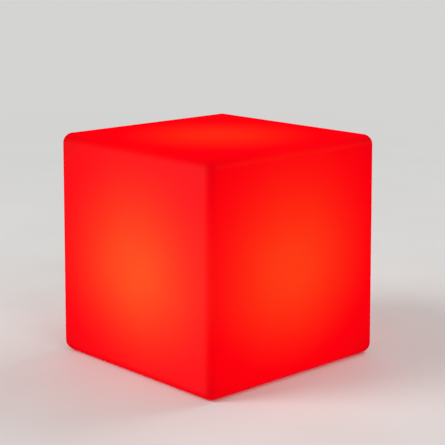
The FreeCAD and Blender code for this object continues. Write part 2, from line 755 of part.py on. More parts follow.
def housing_screws():
    head_low = housing_screw_seat() - SMALL_HEAD_HEIGHT
    return group(small_screw(place, head_low, True, HOUSING_SCREW_LENGTH) for place in tower_places())


def lead_grommet():
    """A rubber sleeve with a lip over each side of the housing's deck."""
    place = (0, LEAD_Y)
    low, high = DECK_Z - GROMMET_LIP, DECK_TOP + GROMMET_LIP
    sleeve = obround(GROMMET_SIZE, GROMMET_WALL, low, high, place)
    lips = [
        obround(GROMMET_SIZE, GROMMET_WALL + GROMMET_LIP, low, DECK_Z, place),
        obround(GROMMET_SIZE, GROMMET_WALL + GROMMET_LIP, DECK_TOP, high, place),
    ]
    return together([sleeve] + lips).cut(obround(GROMMET_SIZE, 0, low - PAST, high + PAST, place))


# --- LED board and lens ---


def led_board():
    board = rod(LED_BOARD_RADIUS, LED_BOARD_Z, LED_BOARD_TOP)
    low, high = LED_BOARD_Z - PAST, LED_BOARD_TOP + PAST
    holes = [rod(SMALL_SCREW_RADIUS + SCREW_GAP, low, high, place) for place in standoff_places()]
    slot = obround(GROMMET_SIZE, SLOT_MARGIN, low, high, (0, LEAD_Y))
    return board.cut(holes + [slot])


def led_places():
    outer = circle_of(OUTER_LED_COUNT, LED_BOARD_RADIUS - OUTER_LED_INSET, 180.0 / OUTER_LED_COUNT)
    inner = circle_of(INNER_LED_COUNT, INNER_LED_CIRCLE, 180.0 / INNER_LED_COUNT)
    return outer + inner


def led_chips():
    chips = []
    top = LED_BOARD_TOP + LED_HEIGHT
    for place in led_places():
        chip = block(LED_SIDE, LED_SIDE, LED_BOARD_TOP, top, place)
        chips.append(chip.cut(rod(LED_WINDOW_RADIUS, top - LED_WINDOW_DEPTH, top + PAST, place)))
    return group(chips)


def led_resistors():
    size_x, size_y, height = RESISTOR_SIZE
    places = circle_of(RESISTOR_COUNT, RESISTOR_CIRCLE, 180.0 / RESISTOR_COUNT)
    return group(block(size_x, size_y, LED_BOARD_TOP, LED_BOARD_TOP + height, place) for place in places)


def led_board_screws():
    return group(small_screw(place, LED_BOARD_TOP, False) for place in standoff_places())


def ir_receiver():
    size_x, size_y, height = RECEIVER_SIZE
    top = LED_BOARD_TOP + height
    body = block(size_x, size_y, LED_BOARD_TOP, top)
    return together([body, Part.makeSphere(RECEIVER_DOME, at(0, 0, top))])


def lens_cover():
    crown_z = DECK_TOP + LENS_SHOULDER + LENS_CROWN
    ball = (LENS_BODY_RADIUS**2 + LENS_CROWN**2) / (2 * LENS_CROWN)
    middle = at(0, 0, crown_z - ball)
    body = rod(LENS_BODY_RADIUS, DECK_TOP, crown_z + PAST).common(Part.makeSphere(ball, middle))
    flange_top = DECK_TOP + LENS_FLANGE_THICKNESS
    flange = turned([
        (0, DECK_TOP),
        (HOUSING_RADIUS, DECK_TOP),
        (HOUSING_RADIUS, flange_top, HOUSING_ROUNDING),
        (0, flange_top),
    ])
    inside = rod(LENS_BODY_RADIUS - LENS_WALL, DECK_TOP - PAST, crown_z)
    inside = inside.common(Part.makeSphere(ball - LENS_WALL, middle))
    hole = SMALL_SCREW_RADIUS + SCREW_GAP
    cuts = [rod(hole, DECK_TOP - PAST, flange_top + PAST, place) for place in lens_screw_places()]
    return together([flange, body]).cut([inside] + cuts)


def lens_seal():
    return Part.makeTorus(LENS_SEAL_CIRCLE, RING_CORD / 2, at(0, 0, DECK_TOP - RING_CORD / 2))


def lens_screws():
    seat = DECK_TOP + LENS_FLANGE_THICKNESS
    return group(small_screw(place, seat, False) for place in lens_screw_places())


# --- Batteries ---


def lengthwise(radius, length, middle_y, middle_z, middle_x=0.0):
    return Part.makeCylinder(radius, length, at(middle_x - length / 2, middle_y, middle_z), at(1, 0, 0))


def cell_rows():
    """Each cell's place across the housing, and which way its positive end points."""
    return ((CELL_OFFSET, 1), (-CELL_OFFSET, -1))


def battery_cells():
    cells = []
    for y, way in cell_rows():
        body_end = CELL_LENGTH / 2 - CELL_NUB_HEIGHT
        cell = turned([
            (0, -CELL_LENGTH / 2),
            (CELL_RADIUS - CELL_CRIMP, -CELL_LENGTH / 2),
            (CELL_RADIUS, -CELL_LENGTH / 2 + CELL_CRIMP),
            (CELL_RADIUS, body_end - CELL_CRIMP),
            (CELL_RADIUS - CELL_CRIMP, body_end),
            (CELL_NUB_RADIUS, body_end),
            (CELL_NUB_RADIUS, CELL_LENGTH / 2),
            (0, CELL_LENGTH / 2),
        ])
        cell.rotate(at(0, 0), at(0, 1, 0), 90 * way)
        cell.translate(at(0, y, CELL_Z))
        cells.append(cell)
    return group(cells)


def battery_tabs():
    """One nickel strip joins the cells at one end, and each cell has its own at the other."""
    joined = 2 * CELL_OFFSET + TAB_WIDTH
    low, high = CELL_Z - TAB_WIDTH / 2, CELL_Z + TAB_WIDTH / 2
    end = CELL_LENGTH / 2 + TAB_THICKNESS / 2
    strip = block(TAB_THICKNESS, joined, low, high, (-end, 0))
    single = [block(TAB_THICKNESS, TAB_WIDTH, low, high, (end, y)) for y, way in cell_rows()]
    return group([strip] + single)


def battery_pads():
    length = CELL_LENGTH - 2 * PAD_INSET
    return group(block(length, PAD_WIDTH, CELL_Z + CELL_RADIUS, DECK_Z, (0, y)) for y, way in cell_rows())


def battery_cradle():
    """Two troughs side by side, as one moulding, hung from the housing's deck by four lugs."""
    length = CELL_LENGTH - 2 * CRADLE_MARGIN
    outer = [lengthwise(CRADLE_OUTER, length, y, CELL_Z) for y, way in cell_rows()]
    lug_low = CRADLE_Z + LUG_RISE
    lug_high = lug_low + LUG_THICKNESS
    lug_radius = POST_RADIUS + LUG_RIM
    lugs = []
    for x, y in lug_places():
        lugs.append(rod(lug_radius, lug_low, lug_high, (x, y)))
        inner_y = math.copysign(CELL_OFFSET, y)
        span = abs(y) - CELL_OFFSET
        lugs.append(block(2 * lug_radius, span, lug_low, lug_high, (x, (y + inner_y) / 2)))
    cradle = together(outer + lugs)
    cuts = [lengthwise(TROUGH_RADIUS, length + 2 * PAST, y, CELL_Z) for y, way in cell_rows()]
    wide = 4 * CRADLE_OUTER
    cuts.append(block(length + 2 * PAST, wide, CELL_Z, CELL_Z + 2 * CRADLE_OUTER))
    hole = SMALL_SCREW_RADIUS + SCREW_GAP
    cuts += [rod(hole, lug_low - PAST, lug_high + PAST, place) for place in lug_places()]
    return cradle.cut(cuts)


def cradle_screws():
    head_low = CRADLE_Z + LUG_RISE - SMALL_HEAD_HEIGHT
    return group(small_screw(place, head_low, True) for place in lug_places())


# --- Control board ---


def control_board():
    board = rod(BOARD_RADIUS, BOARD_Z, BOARD_TOP)
    hole = SMALL_SCREW_RADIUS + SCREW_GAP
    return board.cut([rod(hole, BOARD_Z - PAST, BOARD_TOP + PAST, place) for place in post_places()])


def control_board_screws():
    return group(small_screw(place, BOARD_TOP, False) for place in post_places())


def on_board(size, place):
    """A block of size (x, y, height) that stands on the control board."""
    return block(size[0], size[1], BOARD_TOP, BOARD_TOP + size[2], place)


def controller_chip():
    return on_board(CONTROLLER_SIZE, CONTROLLER_PLACE)


def led_driver_chips():
    middle = (DRIVER_COUNT - 1) / 2
    xs = [(k - middle) * DRIVER_PITCH for k in range(DRIVER_COUNT)]
    return group(on_board(DRIVER_SIZE, (x, LEAD_Y + DRIVER_OFFSET)) for x in xs)


def capacitors():
    cans = []
    x, y = CAPACITOR_PLACE
    for place in ((-x, y), (x, y)):
        foot = on_board((CAPACITOR_FOOT, CAPACITOR_FOOT, CAPACITOR_FOOT_HEIGHT), place)
        can = rod(CAPACITOR_RADIUS, BOARD_TOP, BOARD_TOP + CAPACITOR_HEIGHT, place)
        cans.append(together([foot, can]))
    return group(cans)


def power_inductor():
    place = (0, INDUCTOR_Y)
    top = BOARD_TOP + INDUCTOR_HEIGHT
    core = raised(rectangle(INDUCTOR_SIDE, INDUCTOR_SIDE, INDUCTOR_CORNER, place), BOARD_TOP, top)
    inner = WINDING_RADIUS - WINDING_WIDTH
    return core.cut(ring(WINDING_RADIUS, inner, top - WINDING_DEPTH, top + PAST, place))


def board_headers():
    led = block(*LED_HEADER_SIZE, BOARD_TOP, BOARD_TOP + HEADER_HEIGHT, (0, LEAD_Y))
    size_x, size_y = BATTERY_HEADER_SIZE
    middle = (BATTERY_HEADER_X + size_x / 2, 0)
    battery = block(size_x, size_y, BOARD_TOP, BOARD_TOP + HEADER_HEIGHT, middle)
    return group([led, battery])


# --- Charging port ---


def jack_low():
    return PLATE_TOP + JACK_GASKET


def socket_floor():
    return jack_low() + JACK_BORE_DEPTH


def dc_jack_body():
    place = (JACK_X, 0)
    body = raised(rectangle(JACK_SIDE, JACK_SIDE, JACK_ROUNDING, place), jack_low(), BOARD_Z)
    bore = rod(JACK_BORE_RADIUS, jack_low() - PAST, socket_floor(), place)
    root = rod(JACK_PIN_ROOT + SEAT_GAP, jack_low(), BOARD_Z - JACK_ROOF, place)
    return body.cut([bore, root, contact_slot()])


def contact_slot():
    """The slot in the jack's side that its leaf contact lies in."""
    outside = JACK_SIDE / 2 + PAST
    inside = JACK_BORE_RADIUS - PAST
    low = jack_low() + CONTACT_RISE
    width = CONTACT_WIDTH + 2 * CONTACT_SIDE_GAP
    return block(width, outside - inside, low, low + CONTACT_LENGTH, (JACK_X, -(outside + inside) / 2))


def dc_jack_pin():
    """A bare pin in the socket, with a wider root seated in the jack's body."""
    tip = socket_floor() - JACK_PIN_LENGTH
    top = BOARD_Z - JACK_ROOF - SEAT_GAP
    return turned([
        (0, tip),
        (JACK_PIN_RADIUS - PIN_BEVEL, tip),
        (JACK_PIN_RADIUS, tip + PIN_BEVEL),
        (JACK_PIN_RADIUS, socket_floor()),
        (JACK_PIN_ROOT, socket_floor()),
        (JACK_PIN_ROOT, top),
        (0, top),
    ], (JACK_X, 0))


def dc_jack_contact():
    """A springy leaf, bowed towards the plug, that rests on the slot's two ends."""
    low = jack_low() + CONTACT_RISE + SEAT_GAP
    high = low + CONTACT_LENGTH - 2 * SEAT_GAP
    middle = (low + high) / 2
    bow = -JACK_BORE_RADIUS - CONTACT_CLEARANCE
    end = bow - LEAF_BOW
    corners = [
        (end, low),
        (bow, middle, LEAF_BEND),
        (end, high),
        (end - LEAF_THICKNESS, high),
        (bow - LEAF_THICKNESS, middle, LEAF_BEND),
        (end - LEAF_THICKNESS, low),
    ]
    leaf = Part.Face(outline(corners, lambda a, b: at(JACK_X - CONTACT_WIDTH / 2, a, b)))
    return leaf.extrude(at(CONTACT_WIDTH, 0, 0))


def jack_gasket():
    return ring(PORT_WELL_RADIUS, PORT_HOLE_RADIUS, PLATE_TOP, jack_low(), (JACK_X, 0))


def hinge_line(radius, width):
    return Part.makeCylinder(radius, width, at(HINGE_X, -width / 2, HINGE_Z), at(0, 1, 0))


def port_flap():
    """Disc, strap and hinge bead, with the stepped plug that fills the port's well and hole."""
    low, high = PANEL_Z, PANEL_Z + FLAP_THICKNESS
    place = (JACK_X, 0)
    disc = rod(FLAP_RADIUS, low, high, place)
    width = 2 * FLAP_HALF_WIDTH
    arm = block(FLAP_REACH, width, low, high, (JACK_X + FLAP_REACH / 2, 0))
    plug = PORT_WELL_RADIUS - PLUG_GAP
    plug_top = PORT_WELL_TOP - PLUG_SHORT
    nose = PORT_HOLE_RADIUS - PLUG_NOSE_GAP
    nose_top = PLATE_TOP + PLUG_SHORT
    stepped = turned([
        (0, low),
        (plug, low),
        (plug, high),
        (plug - PLUG_TAPER, plug_top),
        (nose, plug_top),
        (nose - PLUG_TAPER, nose_top),
        (0, nose_top),
    ], place)
    return together([disc, arm, hinge_line(HINGE_RADIUS, width), stepped])


def hinge_relief():
    """What the flap sweeps at the anchor's end: a round socket, and a slope that lets it open wide."""
    width = 4 * FLAP_HALF_WIDTH
    reach = HINGE_RADIUS + HINGE_GAP
    turn = math.radians(FLAP_OPEN_DEG + FLAP_SPARE_DEG)
    drop = HINGE_RADIUS + PAST
    low_x = HINGE_X + reach / math.sin(turn) - drop / math.tan(turn)
    corners = [
        (HINGE_X, HINGE_Z),
        (HINGE_X - PAST, HINGE_Z),
        (HINGE_X - PAST, HINGE_Z - drop),
        (low_x, HINGE_Z - drop),
        (HINGE_X + reach * math.sin(turn), HINGE_Z - reach * math.cos(turn)),
    ]
    wedge = Part.Face(outline(corners, lambda a, b: at(a, -width / 2, b))).extrude(at(0, width, 0))
    return [wedge, hinge_line(reach, width)]


def flap_anchor():
    base = strap(HINGE_X, HINGE_X + ANCHOR_LENGTH, 0.0)
    high = PANEL_Z + FLAP_THICKNESS
    head_low = PLATE_TOP + SEAT_GAP
    head_high = head_low + STUD_HEAD_HEIGHT
    stud = turned([
        (0, high - LAP),
        (STUD_RADIUS, high - LAP),
        (STUD_RADIUS, head_low),
        (STUD_HEAD_RADIUS, head_low),
        (STUD_TIP, head_high),
        (0, head_high),
    ], stud_place())
    return together([base, stud]).cut(hinge_relief())


# --- Power button ---


def power_button():
    flange_low = PLATE_TOP + SEAT_GAP
    flange_high = flange_low + BUTTON_FLANGE_HEIGHT
    flange = BUTTON_RADIUS + BUTTON_FLANGE
    face = PANEL_Z + DISH_DEPTH - BUTTON_PROUD
    cap = turned([
        (0, face),
        (BUTTON_RADIUS, face, BUTTON_EDGE),
        (BUTTON_RADIUS, flange_low),
        (flange, flange_low),
        (flange, flange_high),
        (BUTTON_STEM_RADIUS, flange_high),
        (BUTTON_STEM_RADIUS, STEM_TOP),
        (0, STEM_TOP),
    ], (BUTTON_X, 0))
    return cap.cut(dished_hollow(BUTTON_HOLLOW_RADIUS, BUTTON_HOLLOW, face, (BUTTON_X, 0)))


def button_diaphragm():
    """A clamped bead, a thin rolled web and a pad between the button's stem and the switch."""
    web_low = STEM_TOP + WEB_STEP
    web_high = web_low + WEB_THICKNESS
    bead_inner = COLLAR_OUTER - BEAD_WIDTH
    crest = (BUTTON_STEM_RADIUS + bead_inner) / 2
    return turned([
        (0, STEM_TOP),
        (BUTTON_STEM_RADIUS, STEM_TOP),
        (BUTTON_STEM_RADIUS, web_low),
        (crest, web_low - WEB_ROLL, WEB_BEND),
        (bead_inner, web_low),
        (bead_inner, COLLAR_TOP),
        (COLLAR_OUTER - RING_GAP, COLLAR_TOP),
        (COLLAR_OUTER - RING_GAP, BEAD_TOP),
        (bead_inner, BEAD_TOP),
        (bead_inner, web_high),
        (crest, web_high - WEB_ROLL, WEB_BEND),
        (BUTTON_STEM_RADIUS, web_high),
        (BUTTON_STEM_RADIUS, BEAD_TOP),
        (0, BEAD_TOP),
    ], (BUTTON_X, 0))


def diaphragm_clamp():
    """A snap-on ring that holds the diaphragm's bead down on the plate's collar."""
    outer = COLLAR_OUTER + CLAMP_SKIRT
    inner = COLLAR_OUTER - BEAD_WIDTH
    return turned([
        (COLLAR_OUTER + RING_GAP, PLATE_TOP),
        (outer, PLATE_TOP),
        (outer, BEAD_TOP + CLAMP_HEIGHT / 2),
        (outer - CLAMP_HEIGHT / 2, BEAD_TOP + CLAMP_HEIGHT),
        (inner, BEAD_TOP + CLAMP_HEIGHT),
        (inner, BEAD_TOP),
        (COLLAR_OUTER + RING_GAP, BEAD_TOP),
    ], (BUTTON_X, 0))


def switch_low():
    return BOARD_Z - SWITCH_HEIGHT


def push_switch():
    place = (BUTTON_X, 0)
    body = raised(rectangle(SWITCH_SIDE, SWITCH_SIDE, SWITCH_ROUNDING, place), switch_low(), BOARD_Z)
    bore_top = switch_low() + PLUNGER_HELD + BUTTON_TRAVEL + PLUNGER_SPARE
    return body.cut(rod(PLUNGER_RADIUS + PLUNGER_GAP, switch_low() - PAST, bore_top, place))


def switch_plunger():
    return turned([
        (0, BEAD_TOP),
        (PLUNGER_RADIUS, BEAD_TOP),
        (PLUNGER_RADIUS, switch_low() + PLUNGER_HELD),
        (0, switch_low() + PLUNGER_HELD),
    ], (BUTTON_X, 0))


# --- Status light ---


def light_pipe():
    low, high = PANEL_Z, BOARD_Z - STATUS_LED_HEIGHT - PIPE_GAP
    flange = PIPE_RADIUS + PIPE_FLANGE
    return turned([
        (0, low),
        (PIPE_RADIUS, low),
        (PIPE_RADIUS, PLATE_TOP),
        (flange, PLATE_TOP),
        (flange, PLATE_TOP + PIPE_FLANGE),
        (PIPE_RADIUS, PLATE_TOP + PIPE_FLANGE),
        (PIPE_RADIUS, high),
        (0, high),
    ], (0, PIPE_Y))


def status_led():
    low = BOARD_Z - STATUS_LED_HEIGHT
    rim_low = BOARD_Z - STATUS_RIM_HEIGHT
    return turned([
        (0, low),
        (PIPE_RADIUS, low, STATUS_DOME),
        (PIPE_RADIUS, rim_low),
        (PIPE_RADIUS + STATUS_RIM, rim_low),
        (PIPE_RADIUS + STATUS_RIM, BOARD_Z),
        (0, BOARD_Z),
    ], (0, PIPE_Y))


# --- Leads ---


def led_header_z():
    """The height of the wires where they enter the LED board's header."""
    return LED_BOARD_TOP + HEADER_HEIGHT / 2


def led_header_y():
    return LEAD_Y + GROMMET_SIZE[1] + PLUG_HEIGHT + LED_LEAD_SPARE


def led_board_header():
    low, high = LED_BOARD_TOP, LED_BOARD_TOP + HEADER_HEIGHT
    place = (0, led_header_y() + LED_SOCKET_DEPTH / 2)
    return block(LED_HEADER_SIZE[0], LED_SOCKET_DEPTH, low, high, place)


def led_lead_plugs():
    """One plug on the control board's header, and one on the LED board's."""
    width, depth = (size - 2 * HEADER_WALL for size in LED_HEADER_SIZE)
    low = BOARD_TOP + HEADER_HEIGHT
    lower = block(width, depth, low, low + PLUG_HEIGHT, (0, LEAD_Y))
    half = depth / 2
    place = (0, led_header_y() - PLUG_HEIGHT / 2)
    upper = block(width, PLUG_HEIGHT, led_header_z() - half, led_header_z() + half, place)
    return group([lower, upper])


def led_lead():
    """Five wires side by side, up through the grommet and over into the LED board's header."""
    route = [
        (LEAD_Y, BOARD_TOP + HEADER_HEIGHT + PLUG_HEIGHT),
        (LEAD_Y, led_header_z()),
        (led_header_y() - PLUG_HEIGHT, led_header_z()),
    ]
    wires = []
    for k in range(LED_WIRE_COUNT):
        x = (k - (LED_WIRE_COUNT - 1) / 2) * LED_WIRE_PITCH
        wires.append(wire_along([(x, y, z) for y, z in route], LED_WIRE_RADIUS))
    return group(wires)


def battery_plug_x():
    return BATTERY_HEADER_X + BATTERY_HEADER_SIZE[0]


def battery_lead_z():
    return BOARD_TOP + HEADER_HEIGHT / 2


def battery_plug():
    middle = battery_plug_x() + BATTERY_PLUG_LENGTH / 2
    half = BATTERY_PLUG_HEIGHT / 2
    width = BATTERY_HEADER_SIZE[1] - 2 * HEADER_WALL
    return block(BATTERY_PLUG_LENGTH, width, battery_lead_z() - half, battery_lead_z() + half, (middle, 0))


def battery_lead(side):
    """A wire from one cell's tab down to the plug on the control board, on a route chosen by hand."""
    tab_x = CELL_LENGTH / 2 + TAB_THICKNESS + BATTERY_WIRE_RADIUS
    plug_x = battery_plug_x() + BATTERY_PLUG_LENGTH
    plug_y = side * BATTERY_WIRE_SPACING / 2
    low = battery_lead_z()
    rise = CELL_Z - low
    clear_x = tab_x + BATTERY_LEAD_BOW
    route = [
        (tab_x, side * CELL_OFFSET, CELL_Z + TAB_WIDTH * 0.6),
        (tab_x, side * CELL_OFFSET, CELL_Z - TAB_WIDTH * 0.3),
        (clear_x, side * CELL_OFFSET * 0.65, low + rise * 0.62),
        (clear_x, plug_y, low),
        (plug_x, plug_y, low),
    ]
    return wire_along(route, BATTERY_WIRE_RADIUS)


PIECES = {
    "cube_shell": cube_shell,
    "threaded_inserts": threaded_inserts,
    "base_gasket": base_gasket,
    "base_plate": base_plate,
    "base_screws": base_screws,
    "housing_seal": housing_seal,
    "module_housing": module_housing,
    "housing_screws": housing_screws,
    "lead_grommet": lead_grommet,
    "led_board": led_board,
    "led_chips": led_chips,
    "led_resistors": led_resistors,
    "led_board_screws": led_board_screws,
    "ir_receiver": ir_receiver,
    "lens_cover": lens_cover,
    "lens_seal": lens_seal,
    "lens_screws": lens_screws,
    "battery_cells": battery_cells,
    "battery_tabs": battery_tabs,
    "battery_pads": battery_pads,
    "battery_cradle": battery_cradle,
    "cradle_screws": cradle_screws,
    "control_board": control_board,
    "control_board_screws": control_board_screws,
    "controller_chip": controller_chip,
    "led_driver_chips": led_driver_chips,
    "capacitors": capacitors,
    "power_inductor": power_inductor,
    "board_headers": board_headers,
    "dc_jack_body": dc_jack_body,
    "dc_jack_pin": dc_jack_pin,
    "dc_jack_contact": dc_jack_contact,
    "jack_gasket": jack_gasket,
    "port_flap": port_flap,
    "flap_anchor": flap_anchor,
    "power_button": power_button,
    "button_diaphragm": button_diaphragm,
    "diaphragm_clamp": diaphragm_clamp,
    "push_switch": push_switch,
    "switch_plunger": switch_plunger,
    "light_pipe": light_pipe,
    "status_led": status_led,
    "led_board_header": led_board_header,
    "led_lead_plugs": led_lead_plugs,
    "led_lead": led_lead,
    "battery_plug": battery_plug,
    "battery_lead_red": lambda: battery_lead(1),
    "battery_lead_black": lambda: battery_lead(-1),
}

os.makedirs("parts", exist_ok=True)
for name, make in PIECES.items():
    shape = make()
    print(f"{name}: {len(shape.Solids)} solids, valid {shape.isValid()}, {shape.Volume / 1000:.3f} cm3")
    shape.exportStep(f"parts/{name}.step")
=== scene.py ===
"""The looks of the LED cube light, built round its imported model.

Lengths are metres in the model's own frame: +Z is up, and the origin is the middle of the underside.
"""
import json
import math

import bmesh
import bpy
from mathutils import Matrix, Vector
from mathutils.bvhtree import BVHTree


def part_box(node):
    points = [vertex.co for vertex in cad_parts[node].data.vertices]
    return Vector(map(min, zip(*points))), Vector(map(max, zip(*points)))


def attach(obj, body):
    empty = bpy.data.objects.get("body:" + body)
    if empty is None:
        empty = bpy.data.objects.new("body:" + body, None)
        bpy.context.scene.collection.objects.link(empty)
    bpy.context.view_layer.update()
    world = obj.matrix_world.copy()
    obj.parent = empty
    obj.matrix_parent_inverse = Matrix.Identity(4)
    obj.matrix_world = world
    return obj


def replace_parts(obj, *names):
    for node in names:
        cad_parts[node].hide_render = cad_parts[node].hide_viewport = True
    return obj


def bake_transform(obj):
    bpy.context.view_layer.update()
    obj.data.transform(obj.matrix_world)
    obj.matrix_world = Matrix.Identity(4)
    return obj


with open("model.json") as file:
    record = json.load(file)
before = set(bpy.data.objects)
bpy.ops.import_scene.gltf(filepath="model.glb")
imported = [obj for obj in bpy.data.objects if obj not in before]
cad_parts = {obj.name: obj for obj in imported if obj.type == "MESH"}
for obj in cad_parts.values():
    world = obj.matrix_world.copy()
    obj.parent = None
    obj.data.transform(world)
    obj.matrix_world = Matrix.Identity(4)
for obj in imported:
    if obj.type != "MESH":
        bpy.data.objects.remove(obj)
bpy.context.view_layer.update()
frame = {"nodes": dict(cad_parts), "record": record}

MM = 0.001
WHITE = (1.0, 1.0, 1.0)
BLACK = (0.0, 0.0, 0.0)

# Camera: where the photograph was taken from, and its focal length in the photograph's own pixels.
PHOTO_SIDE = 445
FOCAL_PIXELS = 1322
SENSOR_WIDTH = 36.0
CAMERA_PLACE = Vector((1.6954, -1.5693, 0.7517))
CAMERA_TARGET = Vector((0.0064, 0.0068, 0.2389))

# Stage: a pale floor under a pale sky, and soft lamps round the object.
FLOOR_SIDE = 60.0
FLOOR_DROP = 0.2 * MM
FLOOR_COLOUR = (0.70, 0.695, 0.68)
FLOOR_SHADE = 0.95  # how dark its darker patches are
FLOOR_FADE = (0.9, 3.5)
SKY_COLOUR = (0.66, 0.66, 0.65)
SKY_LIGHT = 0.42
REFLECTED_RAYS = ("Is Glossy Ray", "Is Transmission Ray")
# Each: its place, its width and its power in watts.
LAMPS = {
    "key_lamp": ((-2.9, -5.2, 4.9), 4.0, 300.0),
    "fill_lamp": ((6.0, -1.2, 4.4), 4.0, 110.0),
    "back_lamp": ((0.8, 5.8, 5.6), 4.4, 190.0),
    "under_lamp": ((0.0, 0.0, -1.6), 1.0, 13.0),
}
LAMP_TARGET = Vector((0.0, 0.0, 0.2))

# Painted glow of the lit shell, as linear light: a warm spot in the middle of each side, which fades
# towards the edges. Green is what warms it. LEFT is the side that faces -Y, and RIGHT the one that faces +X.
GLOW_CENTRE = Vector((0.016, -0.012, 0.182))
GLOW_RISE_RIGHT = 0.006  # how much higher the spot is on the right side
GLOW_SINK = 1.2  # how many times longer a way down counts than a way up
GLOW_SPREAD = 0.1265  # how far from its middle the spot has faded to 1/e
GLOW_CLOUD = (0.96, 1.04)
GLOW_GREEN = 0.059
GREEN_LEFT = 0.017  # how much more of it each side has
GREEN_RIGHT = -0.012
GREEN_TOP = -0.036
GREEN_UNDER = -0.052
GREEN_LOST = 0.003  # taken off all over, so that the spot ends short of the edges
GREEN_KEPT_RIGHT = 0.012  # given back on the right side, for each metre above the spot's middle
GLOW_BLUE = 0.0041
BLUE_PER_GREEN = 0.07

# Painted reflection: pale light painted all over the left side, which grows upwards and to the right.
LEFT_REFLECTION_GREEN = 0.0075
LEFT_REFLECTION_BLUE = 0.0072
LEFT_REFLECTION_LEVEL = 0.7  # at the origin
LEFT_REFLECTION_SLOPE = (2.5, 0.0, 1.5)  # for each metre along X, Y and Z
LEFT_REFLECTION_POWER = 10.0  # how suddenly it ends where the side rounds

# Painted highlight: a faint pale line along the rounding under the right side's top edge.
TOP_EDGE_HIGHLIGHT_GREEN = 0.017
TOP_EDGE_HIGHLIGHT_POWER = 14.0  # how near to the flat of the side it lies

# Red of the painted glow, and the shares of it that are lost as painted shade: at a side's corners, more
# where they are rounded, all along the edges, and on the underside.
GLOW_RED = 0.87
FACE_RED_CUT = 0.20
CORNER_RED_CUT = 0.10
EDGE_RED_CUT = 0.03
UNDER_RED_CUT = 0.45
FAR_POWER = 4.0  # how late the loss sets in on the way to a corner
UNDER_POWER = 8.0  # how suddenly the loss on the underside ends where it rounds

# Screw threads, as a pitch and a depth: into the inserts, and cut by the screw itself in plastic.
MACHINE_THREAD = (0.7 * MM, 0.4 * MM)
PLASTIC_THREAD = (1.2 * MM, 0.4 * MM)
THREAD_STEPS = 14  # in a turn
THREAD_FLANK = 0.42  # half of its foot, as a share of the pitch
THREAD_MARGIN = 0.5  # left smooth at both ends, in pitches
THREAD_GROWTH = 0.5  # how long it takes to reach its full depth, in pitches
THREAD_FADING = 1.0  # how long it takes to fade out at the tip
THREAD_LEAST = 0.02  # its depth where it starts and ends, as a share of the full one
THREAD_SUNK = 0.25  # how deep its foot lies in the core, as a share of its depth
PLASTIC_SCREWS = (
    "housing_screws", "led_board_screws", "lens_screws", "cradle_screws", "control_board_screws",
)

# Meshes: points nearer than WELD are one, and an edge that turns by more than SHARP_EDGE looks sharp.
WELD = 0.005 * MM
SHARP_EDGE = math.radians(35)

# Soldered ends, as outlines in mm: how far out of the piece's side, and how far above the board.
GULL_LEG = ((-0.05, 0.95), (0.35, 0.95), (0.60, 0.18), (1.10, 0.18),
            (1.10, 0.0), (0.45, 0.0), (0.22, 0.77), (-0.05, 0.77))
SOLDER_FILLET = ((-0.05, 0.5), (0.10, 0.28), (0.40, 0.0), (-0.05, 0.0))
# Each: the node, the axis that its ends point along, their number on a side, pitch and width in mm.
SOLDERED = (
    ("controller_chip", 1, 7, 1.27, 0.42, GULL_LEG),
    ("led_driver_chips", 0, 4, 1.27, 0.42, GULL_LEG),
    ("led_chips", 0, 3, 1.6, 0.9, SOLDER_FILLET),
    ("led_resistors", 0, 1, 0.0, 1.5, SOLDER_FILLET),
    ("power_inductor", 0, 1, 0.0, 3.0, SOLDER_FILLET),
)

# The usual power mark, raised on the button: a ring that a bar breaks into.
MARK_RADIUS = 2.1 * MM
MARK_LINE = 0.42 * MM
MARK_HEIGHT = 0.14 * MM
MARK_ROOT = 0.20 * MM
MARK_GAP = math.radians(38)
MARK_BAR = (0.35 * MM, 2.9 * MM)
MARK_STEPS = 40

# The diaphragm behind the button: a pad on its stem, a clamped bead, and a thin dished web between,
# whose edges are let into them. Both faces of the web have the same heights at their ends.
PAD_RADIUS = 3.0 * MM
PAD_RISE = 0.5 * MM  # from the bead's foot to the pad's
PAD_EASE = 0.2 * MM
BEAD_WIDTH = 1.95 * MM
WEB_RISE = (0.55 * MM, 1.45 * MM)  # from the bead's foot to the web's two ends
WEB_LOWER = (2.9 * MM, 11.8 * MM)  # radii at those ends
WEB_UPPER = (1.2 * MM, 10.1 * MM)
WEB_STEPS = 12
TURNED_STEPS = 64

# A circuit board's tracks, as shares of their pitch: how long they run, and how wide the gaps are.
TRACK_RUN = 3.1
TRACK_GAP = 0.28
TRACK_BLUR = 0.2  # how soft their sides are
TRACK_THIN = (0.6, 0.6, 0.6)  # how little the faintest of them shows, where WHITE shows in full


